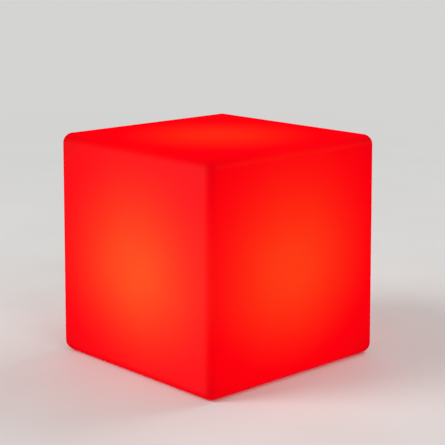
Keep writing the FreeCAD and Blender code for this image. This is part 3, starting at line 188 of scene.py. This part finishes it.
class Surface:
    """A material's node graph, whose sockets take a number, a colour or another node's output."""

    def __init__(self, name, colour, roughness=0.5, **sockets):
        self.material = bpy.data.materials.new(name)
        self.material.use_nodes = True
        self.tree = self.material.node_tree
        self.shader = self.tree.nodes["Principled BSDF"]
        self.set(base_color=colour, roughness=roughness, **sockets)

    def put(self, socket, value):
        """Links a node's output to a socket, or sets the socket's own value."""
        if isinstance(value, bpy.types.NodeSocket):
            self.tree.links.new(value, socket)
        elif socket.type == "RGBA":
            socket.default_value = (*value[:3], 1.0)
        else:
            socket.default_value = value

    def set(self, **sockets):
        """Sets the shader's sockets by their names, with _ for a space."""
        names = {socket.name.lower().replace(" ", "_"): socket for socket in self.shader.inputs}
        for name, value in sockets.items():
            self.put(names[name], value)

    def add(self, kind, inputs=None, **settings):
        """A new node with its settings and its inputs, which are given by name or number."""
        node = self.tree.nodes.new("ShaderNode" + kind)
        for name, value in settings.items():
            setattr(node, name, value)
        for name, value in (inputs or {}).items():
            self.put(node.inputs[name], value)
        return node

    def place(self):
        """The point on the surface, in the model's frame."""
        return self.add("TexCoord").outputs["Object"]

    def normal(self):
        """The way that the surface faces."""
        return self.add("NewGeometry").outputs["Normal"]

    def math(self, operation, first, second=0.0, clamp=False):
        """One sum on numbers."""
        return self.add("Math", {0: first, 1: second}, operation=operation, use_clamp=clamp).outputs[0]

    def vector(self, operation, first, second=(0.0, 0.0, 0.0)):
        """One sum on vectors."""
        node = self.add("VectorMath", {0: first, 1: second}, operation=operation)
        return node.outputs["Value" if operation in ("LENGTH", "DOT_PRODUCT") else "Vector"]

    def parts(self, vector):
        """A vector's X, Y and Z."""
        return self.add("SeparateXYZ", {0: vector}).outputs

    def noise(self, size, detail=3.0, roughness=0.5, stretch=(1.0, 1.0, 1.0)):
        """Noise with features of about that size, from 0 to 1, finer along an axis by its stretch."""
        spot = self.vector("MULTIPLY", self.place(), stretch)
        inputs = {"Vector": spot, "Scale": 1 / size, "Detail": detail, "Roughness": roughness}
        return self.add("TexNoise", inputs).outputs["Fac"]

    def cells(self, size):
        """Rounded cells of about that size, from 0 in their middles."""
        inputs = {"Vector": self.place(), "Scale": 1 / size}
        return self.add("TexVoronoi", inputs).outputs["Distance"]

    def spread(self, value, low, high, start=0.3, end=0.7):
        """A value between start and end, taken to a number between low and high."""
        inputs = {"Value": value, "From Min": start, "From Max": end, "To Min": low, "To Max": high}
        return self.add("MapRange", inputs).outputs["Result"]

    def mix(self, share, low, high):
        """Two colours mixed by a share."""
        node = self.add("Mix", data_type="RGBA")
        sockets = [s for s in node.inputs if s.type == "RGBA"]
        self.put(node.inputs["Factor"], share)
        self.put(sockets[0], low)
        self.put(sockets[1], high)
        return next(s for s in node.outputs if s.type == "RGBA")

    def bump(self, *heights):
        """Gives the surface relief: pairs of a height from 0 to 1 and its depth."""
        normal = None
        for height, depth in heights:
            inputs = {"Height": height, "Strength": 1.0, "Distance": depth}
            if normal:
                inputs["Normal"] = normal
            normal = self.add("Bump", inputs).outputs["Normal"]
        self.set(normal=normal)


def tinted(surface, share, colour, other):
    """Varies a surface's colour between two, by a share from 0 to 1."""
    surface.set(base_color=surface.mix(share, colour, other))


def side_shares(s):
    """How much a surface faces -Y, +X, up and down, each from 0 to 1."""
    nx, ny, nz = s.parts(s.normal())
    signed = ((ny, -1.0), (nx, 1.0), (nz, 1.0), (nz, -1.0))
    return [s.math("MAXIMUM", s.math("MULTIPLY", part, sign), 0.0) for part, sign in signed]


def edge_share(s):
    """0 on the flat of a side, and 1 half-way round an edge.

    The fourth powers of the normal's parts add up to 1 on the flat, and to a half half-way round.
    """
    flat = 0.0
    for part in s.parts(s.normal()):
        flat = s.math("ADD", s.math("POWER", s.math("ABSOLUTE", part), 4.0), flat)
    return s.math("MULTIPLY", s.math("SUBTRACT", 1.0, flat), 2.0, clamp=True)


def way_off(s, right):
    """How far a point is from the middle of its side, squared, and how far it is above it."""
    ray = s.parts(s.vector("SUBTRACT", s.place(), GLOW_CENTRE))
    rise = s.math("SUBTRACT", ray["Z"], s.math("MULTIPLY", right, GLOW_RISE_RIGHT))
    above = s.math("MAXIMUM", rise, 0.0)
    # The glow falls off faster downwards, so the way down counts for more.
    rise = s.math("MAXIMUM", rise, s.math("MULTIPLY", rise, -GLOW_SINK))
    ray = s.add("CombineXYZ", {"X": ray["X"], "Y": ray["Y"], "Z": rise}).outputs[0]
    along = s.vector("SUBTRACT", WHITE, s.vector("MULTIPLY", s.normal(), s.normal()))
    return s.vector("DOT_PRODUCT", s.vector("MULTIPLY", ray, ray), along), above


def warm_spot(s, sides, off, above):
    """The green of the warm spot in the middle of each side."""
    left, right, top, under = sides
    spot = s.math("EXPONENT", s.math("MULTIPLY", off, -1 / GLOW_SPREAD**2))
    warmth = GLOW_GREEN
    for share, more in ((left, GREEN_LEFT), (right, GREEN_RIGHT), (top, GREEN_TOP), (under, GREEN_UNDER)):
        warmth = s.math("ADD", s.math("MULTIPLY", share, more), warmth)
    # Rotational moulding leaves the wall a little uneven, so the light through it is a little cloudy.
    cloud = s.spread(s.noise(60 * MM, detail=2.0), *GLOW_CLOUD)
    green = s.math("MULTIPLY", s.math("MULTIPLY", spot, warmth), cloud)
    kept = s.math("MULTIPLY", s.math("MULTIPLY", right, above), GREEN_KEPT_RIGHT)
    lost = s.math("SUBTRACT", GREEN_LOST, kept)
    return s.math("MAXIMUM", s.math("SUBTRACT", green, lost), 0.0)


def red_share(s, under, off, half_side):
    """How much of the glow's red is left under painted shade: less towards the corners, and less still on
    the edges, where the wall is thicker, and on the underside, because the light module stands
    before it."""
    edge = edge_share(s)
    far = s.math("POWER", s.math("DIVIDE", off, 2 * half_side**2), FAR_POWER)
    cut = s.math("ADD", s.math("MULTIPLY", edge, CORNER_RED_CUT), FACE_RED_CUT)
    cut = s.math("ADD", s.math("MULTIPLY", cut, far), s.math("MULTIPLY", edge, EDGE_RED_CUT))
    behind = s.math("POWER", under, UNDER_POWER)
    cut = s.math("ADD", s.math("MULTIPLY", behind, UNDER_RED_CUT), cut)
    return s.math("SUBTRACT", 1.0, cut)


def glowing_shell():
    """Translucent polyethylene with a painted red glow from inside: warmest in the middle of each side."""
    low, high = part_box("cube_shell")
    s = Surface("translucent_pe", (0.17, 0.0006, 0.0010), 0.55, specular_ior_level=0.0)
    sides = side_shares(s)
    left, right, top, under = sides
    off, above = way_off(s, right)
    green = warm_spot(s, sides, off, above)
    blue = s.math("ADD", s.math("MULTIPLY", green, BLUE_PER_GREEN), GLOW_BLUE)
    # Painted reflection: pale light added to the green and blue all over the left side.
    haze = s.math("ADD", s.vector("DOT_PRODUCT", s.place(), LEFT_REFLECTION_SLOPE), LEFT_REFLECTION_LEVEL)
    haze = s.math("MULTIPLY", haze, s.math("POWER", left, LEFT_REFLECTION_POWER))
    green = s.math("ADD", green, s.math("MULTIPLY", haze, LEFT_REFLECTION_GREEN))
    blue = s.math("ADD", blue, s.math("MULTIPLY", haze, LEFT_REFLECTION_BLUE))
    # Painted highlight along the rounding under the right side's top edge.
    rim = s.math("MULTIPLY", s.math("POWER", right, TOP_EDGE_HIGHLIGHT_POWER), top)
    green = s.math("ADD", green, s.math("MULTIPLY", rim, TOP_EDGE_HIGHLIGHT_GREEN))
    red = s.math("MULTIPLY", red_share(s, under, off, (high.x - low.x) / 2), GLOW_RED)
    glow = s.add("CombineColor", {"Red": red, "Green": green, "Blue": blue}).outputs["Color"]
    s.set(emission_color=glow, emission_strength=1.0)
    s.set(roughness=s.spread(s.noise(15 * MM, detail=4.0, roughness=0.6), 0.5, 0.62))
    waves, grain = s.noise(45 * MM, detail=2.0), s.noise(0.9 * MM, detail=3.0, roughness=0.6)
    s.bump((waves, 0.25 * MM), (grain, 0.02 * MM))
    return s.material


def moulded(name, colour, shade, roughness=(0.42, 0.58), grain=0.35 * MM, depth=0.02 * MM, **sockets):
    """Moulded plastic: a spark-eroded grain, and marks of handling in its tint and shine."""
    s = Surface(name, colour, **sockets)
    marks = s.noise(14 * MM, detail=5.0, roughness=0.62)
    tinted(s, s.spread(marks, 0.0, 1.0), shade, colour)
    s.set(roughness=s.spread(s.noise(5 * MM, detail=4.0, roughness=0.6), *roughness))
    s.bump((s.noise(grain, detail=2.0, roughness=0.5), depth))
    return s.material


def rubbery(name, colour, bloom, roughness=(0.6, 0.78), **sockets):
    """Rubber: matt, with a faint bloom that gathers in patches, and dust."""
    s = Surface(name, colour, specular_ior_level=0.35, **sockets)
    patches = s.spread(s.noise(8 * MM, detail=4.0, roughness=0.6), 0.0, 0.8)
    dust = s.spread(s.noise(0.7 * MM, detail=2.0, roughness=0.5), 0.0, 0.5, 0.6, 0.75)
    tinted(s, s.math("MAXIMUM", patches, dust), colour, bloom)
    s.set(roughness=s.spread(s.noise(3 * MM, detail=3.0), *roughness))
    s.bump((s.noise(0.5 * MM, detail=2.0), 0.015 * MM))
    return s.material


def metal(name, colour, dull, roughness, stretch, depth=0.004 * MM):
    """Bare metal: drawn or turned lines along one way, and a duller film in places."""
    s = Surface(name, colour, metallic=1.0)
    film = s.spread(s.noise(6 * MM, detail=5.0, roughness=0.65), 0.0, 1.0, 0.35, 0.75)
    tinted(s, film, colour, dull)
    lines = s.noise(0.25 * MM, detail=4.0, roughness=0.6, stretch=stretch)
    s.set(roughness=s.spread(lines, *roughness))
    s.bump((lines, depth))
    return s.material


def clear_plastic():
    """Clear polycarbonate with a faint haze and wiping marks."""
    s = Surface("clear_lens", (0.90, 0.93, 0.93), transmission_weight=0.92, ior=1.58)
    haze = s.noise(9 * MM, detail=5.0, roughness=0.65)
    wipes = s.noise(2 * MM, detail=4.0, roughness=0.6, stretch=(1.0, 0.08, 1.0))
    s.set(roughness=s.spread(s.math("MAXIMUM", haze, wipes), 0.04, 0.16, 0.45, 0.8))
    tinted(s, s.spread(haze, 0.0, 1.0), (0.90, 0.93, 0.93), (0.82, 0.86, 0.86))
    s.bump((s.noise(12 * MM, detail=2.0), 0.02 * MM))
    return s.material


def lit_pipe():
    """The status light's pipe: clear plastic, frosted at its face, with the red light that it carries."""
    s = Surface("lit_pipe", (0.90, 0.80, 0.78), transmission_weight=0.35, ior=1.58)
    frost = s.spread(s.noise(0.6 * MM, detail=3.0), 0.0, 1.0)
    tinted(s, frost, (0.92, 0.78, 0.76), (0.84, 0.62, 0.60))
    s.set(emission_color=s.mix(frost, (0.55, 0.02, 0.015), (0.38, 0.012, 0.01)), emission_strength=1.0)
    s.set(roughness=s.spread(s.noise(1 * MM, detail=3.0), 0.3, 0.5))
    s.bump((frost, 0.01 * MM))
    return s.material


def solder_resist(name, colour, over_copper, track):
    """A circuit board's resist: even over the laminate, of another tint where copper lies under it."""
    s = Surface(name, colour, 0.3, coat_weight=0.35, coat_roughness=0.12)
    inputs = {
        "Vector": s.place(), "Color1": WHITE, "Color2": TRACK_THIN, "Mortar": BLACK,
        "Scale": 1.0, "Mortar Size": track * TRACK_GAP, "Mortar Smooth": TRACK_BLUR,
        "Brick Width": track * TRACK_RUN, "Row Height": track,
    }
    copper = s.parts(s.add("TexBrick", inputs).outputs["Color"])["X"]
    tinted(s, copper, colour, over_copper)
    s.set(roughness=s.spread(s.noise(4 * MM, detail=3.0), 0.24, 0.38))
    s.bump((copper, 0.03 * MM), (s.noise(0.4 * MM, detail=2.0), 0.004 * MM))
    return s.material


def led_package():
    """A surface-mounted LED: a pale frame round a clear amber window that shines red."""
    s = Surface("led_package", (0.86, 0.84, 0.78), 0.32)
    amber = s.spread(s.noise(1.2 * MM, detail=2.0), 0.0, 1.0)
    tinted(s, amber, (0.90, 0.74, 0.34), (0.94, 0.84, 0.55))
    upward = s.spread(s.parts(s.normal())["Z"], 0.0, 1.0, 0.9, 0.99)
    glow = s.mix(upward, (0.10, 0.002, 0.001), (1.0, 0.08, 0.03))
    s.set(emission_color=glow, emission_strength=1.4)
    s.set(roughness=s.spread(s.noise(2 * MM, detail=3.0), 0.22, 0.4))
    s.bump((s.noise(0.3 * MM, detail=2.0), 0.006 * MM))
    return s.material


def cell_wrap():
    """Heat-shrunk film on a cell, drawn tight in fine rings, with bare steel where the film ends."""
    s = Surface("cell_wrap", (0.07, 0.30, 0.62), 0.3)
    rings = s.noise(1.6 * MM, detail=3.0, roughness=0.55, stretch=(1.0, 0.15, 0.15))
    film = s.mix(s.spread(s.noise(10 * MM, detail=4.0), 0.0, 1.0), (0.05, 0.25, 0.55), (0.10, 0.36, 0.68))
    ends = s.spread(s.math("ABSOLUTE", s.parts(s.normal())["X"]), 0.0, 1.0, 0.85, 0.97)
    s.set(base_color=s.mix(ends, film, (0.62, 0.62, 0.61)), metallic=ends)
    s.set(roughness=s.spread(rings, 0.2, 0.4))
    s.bump((rings, 0.03 * MM))
    return s.material


def foam():
    """Open-cell foam: small pores in a charcoal skin, with painted shade that darkens each pore's middle."""
    s = Surface("foam", (0.07, 0.07, 0.075), 0.9, specular_ior_level=0.15)
    pores = s.cells(1.1 * MM)
    # Painted shade: darkest in the middle of each pore.
    tinted(s, s.spread(pores, 0.0, 1.0, 0.1, 0.6), (0.015, 0.015, 0.017), (0.10, 0.10, 0.105))
    s.set(roughness=s.spread(s.noise(3 * MM, detail=3.0), 0.82, 0.95))
    s.bump((pores, 0.25 * MM), (s.noise(0.4 * MM, detail=3.0), 0.05 * MM))
    return s.material


def insulation(name, colour, worn):
    """Wire insulation: a smooth extruded skin, a little duller where it was handled."""
    s = Surface(name, colour, 0.35)
    tinted(s, s.spread(s.noise(7 * MM, detail=4.0, roughness=0.6), 0.0, 1.0), colour, worn)
    s.set(roughness=s.spread(s.noise(2 * MM, detail=3.0), 0.28, 0.46))
    s.bump((s.noise(0.3 * MM, detail=2.0), 0.004 * MM))
    return s.material


def materials():
    """The finish of each of the record's material slots."""
    return {
        "translucent_pe": glowing_shell(),
        "white_abs": moulded("white_abs", (0.80, 0.80, 0.78), (0.70, 0.70, 0.67)),
        "button_plastic": moulded(
            "button_plastic", (0.42, 0.43, 0.44), (0.33, 0.34, 0.35), (0.3, 0.46), 0.25 * MM, 0.01 * MM
        ),
        "clear_lens": clear_plastic(),
        "silicone": rubbery("silicone", (0.62, 0.62, 0.60), (0.74, 0.74, 0.72)),
        "seal_rubber": rubbery("seal_rubber", (0.025, 0.025, 0.027), (0.075, 0.075, 0.08)),
        "brass": metal("brass", (0.78, 0.57, 0.24), (0.50, 0.36, 0.16), (0.2, 0.38), (0.2, 0.2, 4.0)),
        "stainless": metal(
            "stainless", (0.66, 0.66, 0.65), (0.48, 0.48, 0.47), (0.18, 0.36), (1.0, 1.0, 5.0)
        ),
        "nickel": metal("nickel", (0.70, 0.67, 0.60), (0.54, 0.50, 0.42), (0.2, 0.34), (0.2, 3.0, 3.0)),
        "board_white": solder_resist("board_white", (0.80, 0.80, 0.78), (0.86, 0.85, 0.82), 2.2 * MM),
        "board_green": solder_resist("board_green", (0.015, 0.13, 0.05), (0.05, 0.30, 0.12), 1.3 * MM),
        "led_package": led_package(),
        "status_red": moulded("status_red", (0.60, 0.02, 0.015), (0.42, 0.01, 0.01), (0.15, 0.28)),
        "black_plastic": moulded(
            "black_plastic", (0.022, 0.022, 0.024), (0.045, 0.045, 0.047), (0.4, 0.6), 0.2 * MM, 0.012 * MM
        ),
        "plunger_plastic": moulded("plunger_plastic", (0.74, 0.71, 0.61), (0.66, 0.62, 0.52), (0.34, 0.5)),
        "cell_wrap": cell_wrap(),
        "foam": foam(),
        "can": metal("can", (0.74, 0.75, 0.76), (0.58, 0.59, 0.60), (0.22, 0.4), (3.0, 3.0, 0.3)),
        "wire_red": insulation("wire_red", (0.50, 0.012, 0.010), (0.36, 0.010, 0.008)),
        "wire_black": insulation("wire_black", (0.012, 0.012, 0.013), (0.035, 0.035, 0.036)),
        "wire_white": insulation("wire_white", (0.66, 0.66, 0.65), (0.54, 0.54, 0.52)),
    }


def finish_nodes(finishes):
    """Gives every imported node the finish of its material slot, or one of its own."""
    own = {"light_pipe": lit_pipe()}
    for part in frame["record"]["subparts"]:
        for place in frame["nodes"][part["node"]].material_slots:
            place.material = own.get(part["node"]) or finishes[part["material_slot"]]


def piece(name, mesh, body, slot, finishes):
    """A new object from a mesh, with a slot's finish. It rides on the body, where one is given."""
    bmesh.ops.recalc_face_normals(mesh, faces=mesh.faces)
    mesh.verts.index_update()
    faces = [[vertex.index for vertex in face.verts] for face in mesh.faces]
    data = bpy.data.meshes.new(name)
    data.from_pydata([vertex.co for vertex in mesh.verts], [], faces)
    mesh.free()
    data.shade_smooth()
    data.set_sharp_from_angle(angle=SHARP_EDGE)
    data.materials.append(finishes[slot])
    thing = bpy.data.objects.new(name, data)
    bpy.context.scene.collection.objects.link(thing)
    if body:
        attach(thing, body)
    return thing


def solids_of(node):
    """A node's mesh with its seams welded, and the vertices of each separate solid in it."""
    mesh = bmesh.new()
    mesh.from_mesh(frame["nodes"][node].data)
    bmesh.ops.remove_doubles(mesh, verts=mesh.verts, dist=WELD)
    solids = []
    for start in mesh.verts:
        if start.tag:
            continue
        start.tag = True
        solid = [start]
        for vertex in solid:
            for edge in vertex.link_edges:
                other = edge.other_vert(vertex)
                if not other.tag:
                    other.tag = True
                    solid.append(other)
        solids.append(solid)
    return mesh, solids


def corners(vertices):
    """The lowest and highest corners of some vertices."""
    spots = [vertex.co for vertex in vertices]
    low = Vector([min(spot[axis] for spot in spots) for axis in range(3)])
    high = Vector([max(spot[axis] for spot in spots) for axis in range(3)])
    return low, high


def tube(mesh, rings, endless=False):
    """Joins rings of as many points each into one closed solid, which ends at its first and last ring
    or is endless."""
    rings = [[mesh.verts.new(spot) for spot in ring] for ring in rings]
    following = rings[1:] + rings[:1] if endless else rings[1:]
    for near, far in zip(rings, following):
        for i in range(len(near)):
            mesh.faces.new((near[i - 1], near[i], far[i], far[i - 1]))
    if not endless:
        mesh.faces.new(rings[0])
        mesh.faces.new(rings[-1])


def turned(axis, outline, endless=True):
    """A closed outline of radii and heights, turned about an upright axis. An outline that isn't
    endless is closed by a disc at each end."""
    mesh = bmesh.new()
    turns = [math.tau * step / TURNED_STEPS for step in range(TURNED_STEPS)]
    rings = [
        [(axis.x + radius * math.cos(turn), axis.y + radius * math.sin(turn), height) for turn in turns]
        for radius, height in outline
    ]
    tube(mesh, rings, endless)
    return mesh


def wind_thread(mesh, solid, pitch, depth):
    """Draws a screw's smooth shank in to the root of a thread, and winds the thread's ridge on it."""
    low, high = corners(solid)
    middle = (low + high) / 2
    reach = {vertex: (vertex.co - middle).xy.length for vertex in solid}
    head = max(reach.values())
    rim = [vertex.co.z for vertex in solid if reach[vertex] > head - WELD]
    way = 1 if sum(rim) / len(rim) < middle.z else -1
    seat = max(rim) if way > 0 else min(rim)
    tip = high.z if way > 0 else low.z
    past = {vertex: (vertex.co.z - seat) * way for vertex in solid}
    radius = max(reach[vertex] for vertex in solid if past[vertex] > WELD)
    core = radius - depth
    for vertex in solid:
        if past[vertex] > -WELD and core < reach[vertex] < radius + WELD:
            vertex.co.xy = middle.xy + (vertex.co.xy - middle.xy) * core / reach[vertex]
    start, end = pitch * THREAD_MARGIN, abs(tip - seat) - pitch * THREAD_MARGIN
    foot = core - depth * THREAD_SUNK
    rings = []
    for step in range(int((end - start) / pitch * THREAD_STEPS) + 1):
        turn = math.tau * step / THREAD_STEPS * way
        along = start + pitch * step / THREAD_STEPS
        rise = min(1.0, (along - start) / pitch / THREAD_GROWTH, (end - along) / pitch / THREAD_FADING)
        crest = core + depth * max(rise, THREAD_LEAST)
        across = Vector((math.cos(turn), math.sin(turn)))
        rings.append([
            (*(middle.xy + across * out), seat + way * (along + share * pitch))
            for out, share in ((foot, -THREAD_FLANK), (crest, 0.0), (foot, THREAD_FLANK))
        ])
    tube(mesh, rings)


def threaded(node, thread, finishes):
    """Stands for a group of screws, the same but for their threads."""
    mesh, screws = solids_of(node)
    for solid in screws:
        wind_thread(mesh, solid, *thread)
    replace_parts(piece(node + "_threaded", mesh, "root", "stainless", finishes), node)


def solder_ends(node, axis, count, pitch, width, outline, finishes):
    """The tinned legs or solder fillets along two opposite sides of each solid in a node."""
    source, solids = solids_of(node)
    boxes = [corners(solid) for solid in solids]
    source.free()
    mesh = bmesh.new()
    other = 1 - axis
    for low, high in boxes:
        for way, side in ((-1, low[axis]), (1, high[axis])):
            for number in range(count):
                along = (low[other] + high[other]) / 2 + (number - (count - 1) / 2) * pitch * MM
                rings = []
                for edge in (-0.5, 0.5):
                    ring = [Vector((0.0, 0.0, low.z + up * MM)) for _, up in outline]
                    for spot, (out, _) in zip(ring, outline):
                        spot[axis] = side + way * out * MM
                        spot[other] = along + edge * width * MM
                    rings.append(ring)
                tube(mesh, rings)
    piece(node + "_solder", mesh, "root", "nickel", finishes)


def power_mark(finishes):
    """The power mark in relief on the button's dished face."""
    button, _ = solids_of("power_button")
    low, high = corners(button.verts)
    middle = (low + high) / 2
    face = BVHTree.FromBMesh(button)
    button.free()
    arc = math.tau - 2 * MARK_GAP
    turns = [math.pi / 2 + MARK_GAP + arc * step / MARK_STEPS for step in range(MARK_STEPS + 1)]
    ring = [Vector((math.cos(turn), math.sin(turn))) * MARK_RADIUS for turn in turns]
    start, end = MARK_BAR
    bar = [Vector((0.0, start + (end - start) * step / MARK_STEPS)) for step in range(MARK_STEPS + 1)]
    mesh = bmesh.new()
    for line in (ring, bar):
        rings = []
        for step, spot in enumerate(line):
            way = (line[min(step + 1, MARK_STEPS)] - line[max(step - 1, 0)]).normalized()
            across = Vector((-way.y, way.x)) * MARK_LINE / 2
            section = []
            for side, height in ((-1, -MARK_HEIGHT), (1, -MARK_HEIGHT), (1, MARK_ROOT), (-1, MARK_ROOT)):
                x, y = middle.xy + spot + side * across
                level = face.ray_cast(Vector((x, y, low.z - MM)), Vector((0.0, 0.0, 1.0)))[0].z
                section.append((x, y, level + height))
            rings.append(section)
        tube(mesh, rings)
    piece("power_mark", mesh, "power_button", "white_abs", finishes)


def web_outline(foot, top):
    """The dished web's section: up its lower face from the pad to the bead, and back along its upper."""
    faces = []
    for near, far in (WEB_LOWER, WEB_UPPER):
        shares = [step / WEB_STEPS for step in range(WEB_STEPS + 1)]
        faces.append([(near + (far - near) * share, foot + (top - foot) * share) for share in shares])
    return faces[0] + faces[1][::-1]


def diaphragm(finishes):
    """The button's rubber seal: a pad that rides on the button, a bead, and the dished web between them."""
    low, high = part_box("button_diaphragm")
    axis = (low + high) / 2
    foot, top = low.z, high.z
    outer = (high.x - low.x) / 2
    inner = outer - BEAD_WIDTH
    bead = turned(axis, [(inner, foot), (outer, foot), (outer, top), (inner, top)])
    side = [(PAD_RADIUS, foot + PAD_RISE), (PAD_RADIUS, top - PAD_EASE), (PAD_RADIUS - PAD_EASE, top)]
    pad = turned(axis, side, endless=False)
    ends = [foot + rise for rise in WEB_RISE]
    web = turned(axis, web_outline(*ends))
    bead = piece("diaphragm_bead", bead, "root", "seal_rubber", finishes)
    pad = piece("diaphragm_pad", pad, "power_button", "seal_rubber", finishes)
    web = piece("diaphragm_web", web, None, "seal_rubber", finishes)
    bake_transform(web)
    for part in (bead, pad, web):
        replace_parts(part, "button_diaphragm")


def fine_detail(finishes):
    """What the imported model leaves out: threads, soldered ends, the mark and the button's seal."""
    threaded("base_screws", MACHINE_THREAD, finishes)
    for node in PLASTIC_SCREWS:
        threaded(node, PLASTIC_THREAD, finishes)
    for row in SOLDERED:
        solder_ends(*row, finishes)
    power_mark(finishes)
    diaphragm(finishes)


def sky():
    """A plain surrounding: pale grey to the camera and in reflections, and a soft white light."""
    world = bpy.data.worlds.new("pale_sky")
    bpy.context.scene.world = world
    world.use_nodes = True
    tree = world.node_tree
    light = tree.nodes["Background"]
    light.inputs["Color"].default_value = (*WHITE, 1.0)
    light.inputs["Strength"].default_value = SKY_LIGHT
    seen = tree.nodes.new("ShaderNodeBackground")
    seen.inputs["Color"].default_value = (*SKY_COLOUR, 1.0)
    seen.inputs["Strength"].default_value = 1.0
    path = tree.nodes.new("ShaderNodeLightPath")
    share = path.outputs["Is Camera Ray"]
    for ray in REFLECTED_RAYS:
        either = tree.nodes.new("ShaderNodeMath")
        either.operation = "MAXIMUM"
        tree.links.new(share, either.inputs[0])
        tree.links.new(path.outputs[ray], either.inputs[1])
        share = either.outputs[0]
    choice = tree.nodes.new("ShaderNodeMixShader")
    tree.links.new(share, choice.inputs[0])
    tree.links.new(light.outputs[0], choice.inputs[1])
    tree.links.new(seen.outputs[0], choice.inputs[2])
    tree.links.new(choice.outputs[0], tree.nodes["World Output"].inputs["Surface"])


def floor_finish():
    """Pale painted board, which lets the camera look up through it at the underside."""
    s = Surface("floor", FLOOR_COLOUR, 0.6, specular_ior_level=0.25)
    deeper = tuple(FLOOR_SHADE * part for part in FLOOR_COLOUR)
    tinted(s, s.spread(s.noise(250 * MM, detail=3.0), 0.0, 1.0), deeper, FLOOR_COLOUR)
    s.bump((s.noise(3 * MM, detail=3.0), 0.02 * MM))
    path = s.add("LightPath").outputs
    seen = path["Is Camera Ray"]
    for ray in REFLECTED_RAYS:
        seen = s.math("MAXIMUM", seen, path[ray])
    far = s.spread(s.vector("LENGTH", s.place()), 0.0, 1.0, *FLOOR_FADE)
    haze = s.add("Emission", {"Color": SKY_COLOUR}).outputs[0]
    paint = s.add("MixShader", {0: s.math("MULTIPLY", far, seen), 1: s.shader.outputs[0], 2: haze}).outputs[0]
    back = s.math("MULTIPLY", s.add("NewGeometry").outputs["Backfacing"], path["Is Camera Ray"])
    clear = s.add("BsdfTransparent").outputs[0]
    choice = s.add("MixShader", {0: back, 1: paint, 2: clear}).outputs[0]
    s.tree.links.new(choice, s.tree.nodes["Material Output"].inputs["Surface"])
    return s.material


def floor():
    """What the cube stands on. It takes shadows and casts none, so that the underside is lit too."""
    bpy.ops.mesh.primitive_plane_add(size=FLOOR_SIDE, location=(0.0, 0.0, -FLOOR_DROP))
    plane = bpy.context.object
    plane.name = "floor"
    plane.data.materials.append(floor_finish())
    plane.visible_shadow = False


def aimed(thing, place, target):
    """Puts a lamp or camera at a place and points it at another."""
    thing.location = place
    thing.rotation_euler = (target - place).to_track_quat("-Z", "Y").to_euler()


def lamps():
    """Round soft lamps."""
    for name, (place, side, power) in LAMPS.items():
        data = bpy.data.lights.new(name, "AREA")
        data.shape = "DISK"
        data.size = side
        data.energy = power
        lamp = bpy.data.objects.new(name, data)
        bpy.context.scene.collection.objects.link(lamp)
        aimed(lamp, Vector(place), LAMP_TARGET)


def camera():
    """Sees the object as the photograph does."""
    data = bpy.data.cameras.new("camera")
    data.sensor_width = SENSOR_WIDTH
    data.lens = FOCAL_PIXELS / PHOTO_SIDE * SENSOR_WIDTH
    taker = bpy.data.objects.new("camera", data)
    bpy.context.scene.collection.objects.link(taker)
    aimed(taker, CAMERA_PLACE, CAMERA_TARGET)
    bpy.context.scene.camera = taker


camera()
lamps()
sky()
floor()
finishes = materials()
finish_nodes(finishes)
fine_detail(finishes)
bpy.context.scene.view_settings.view_transform = "Standard"
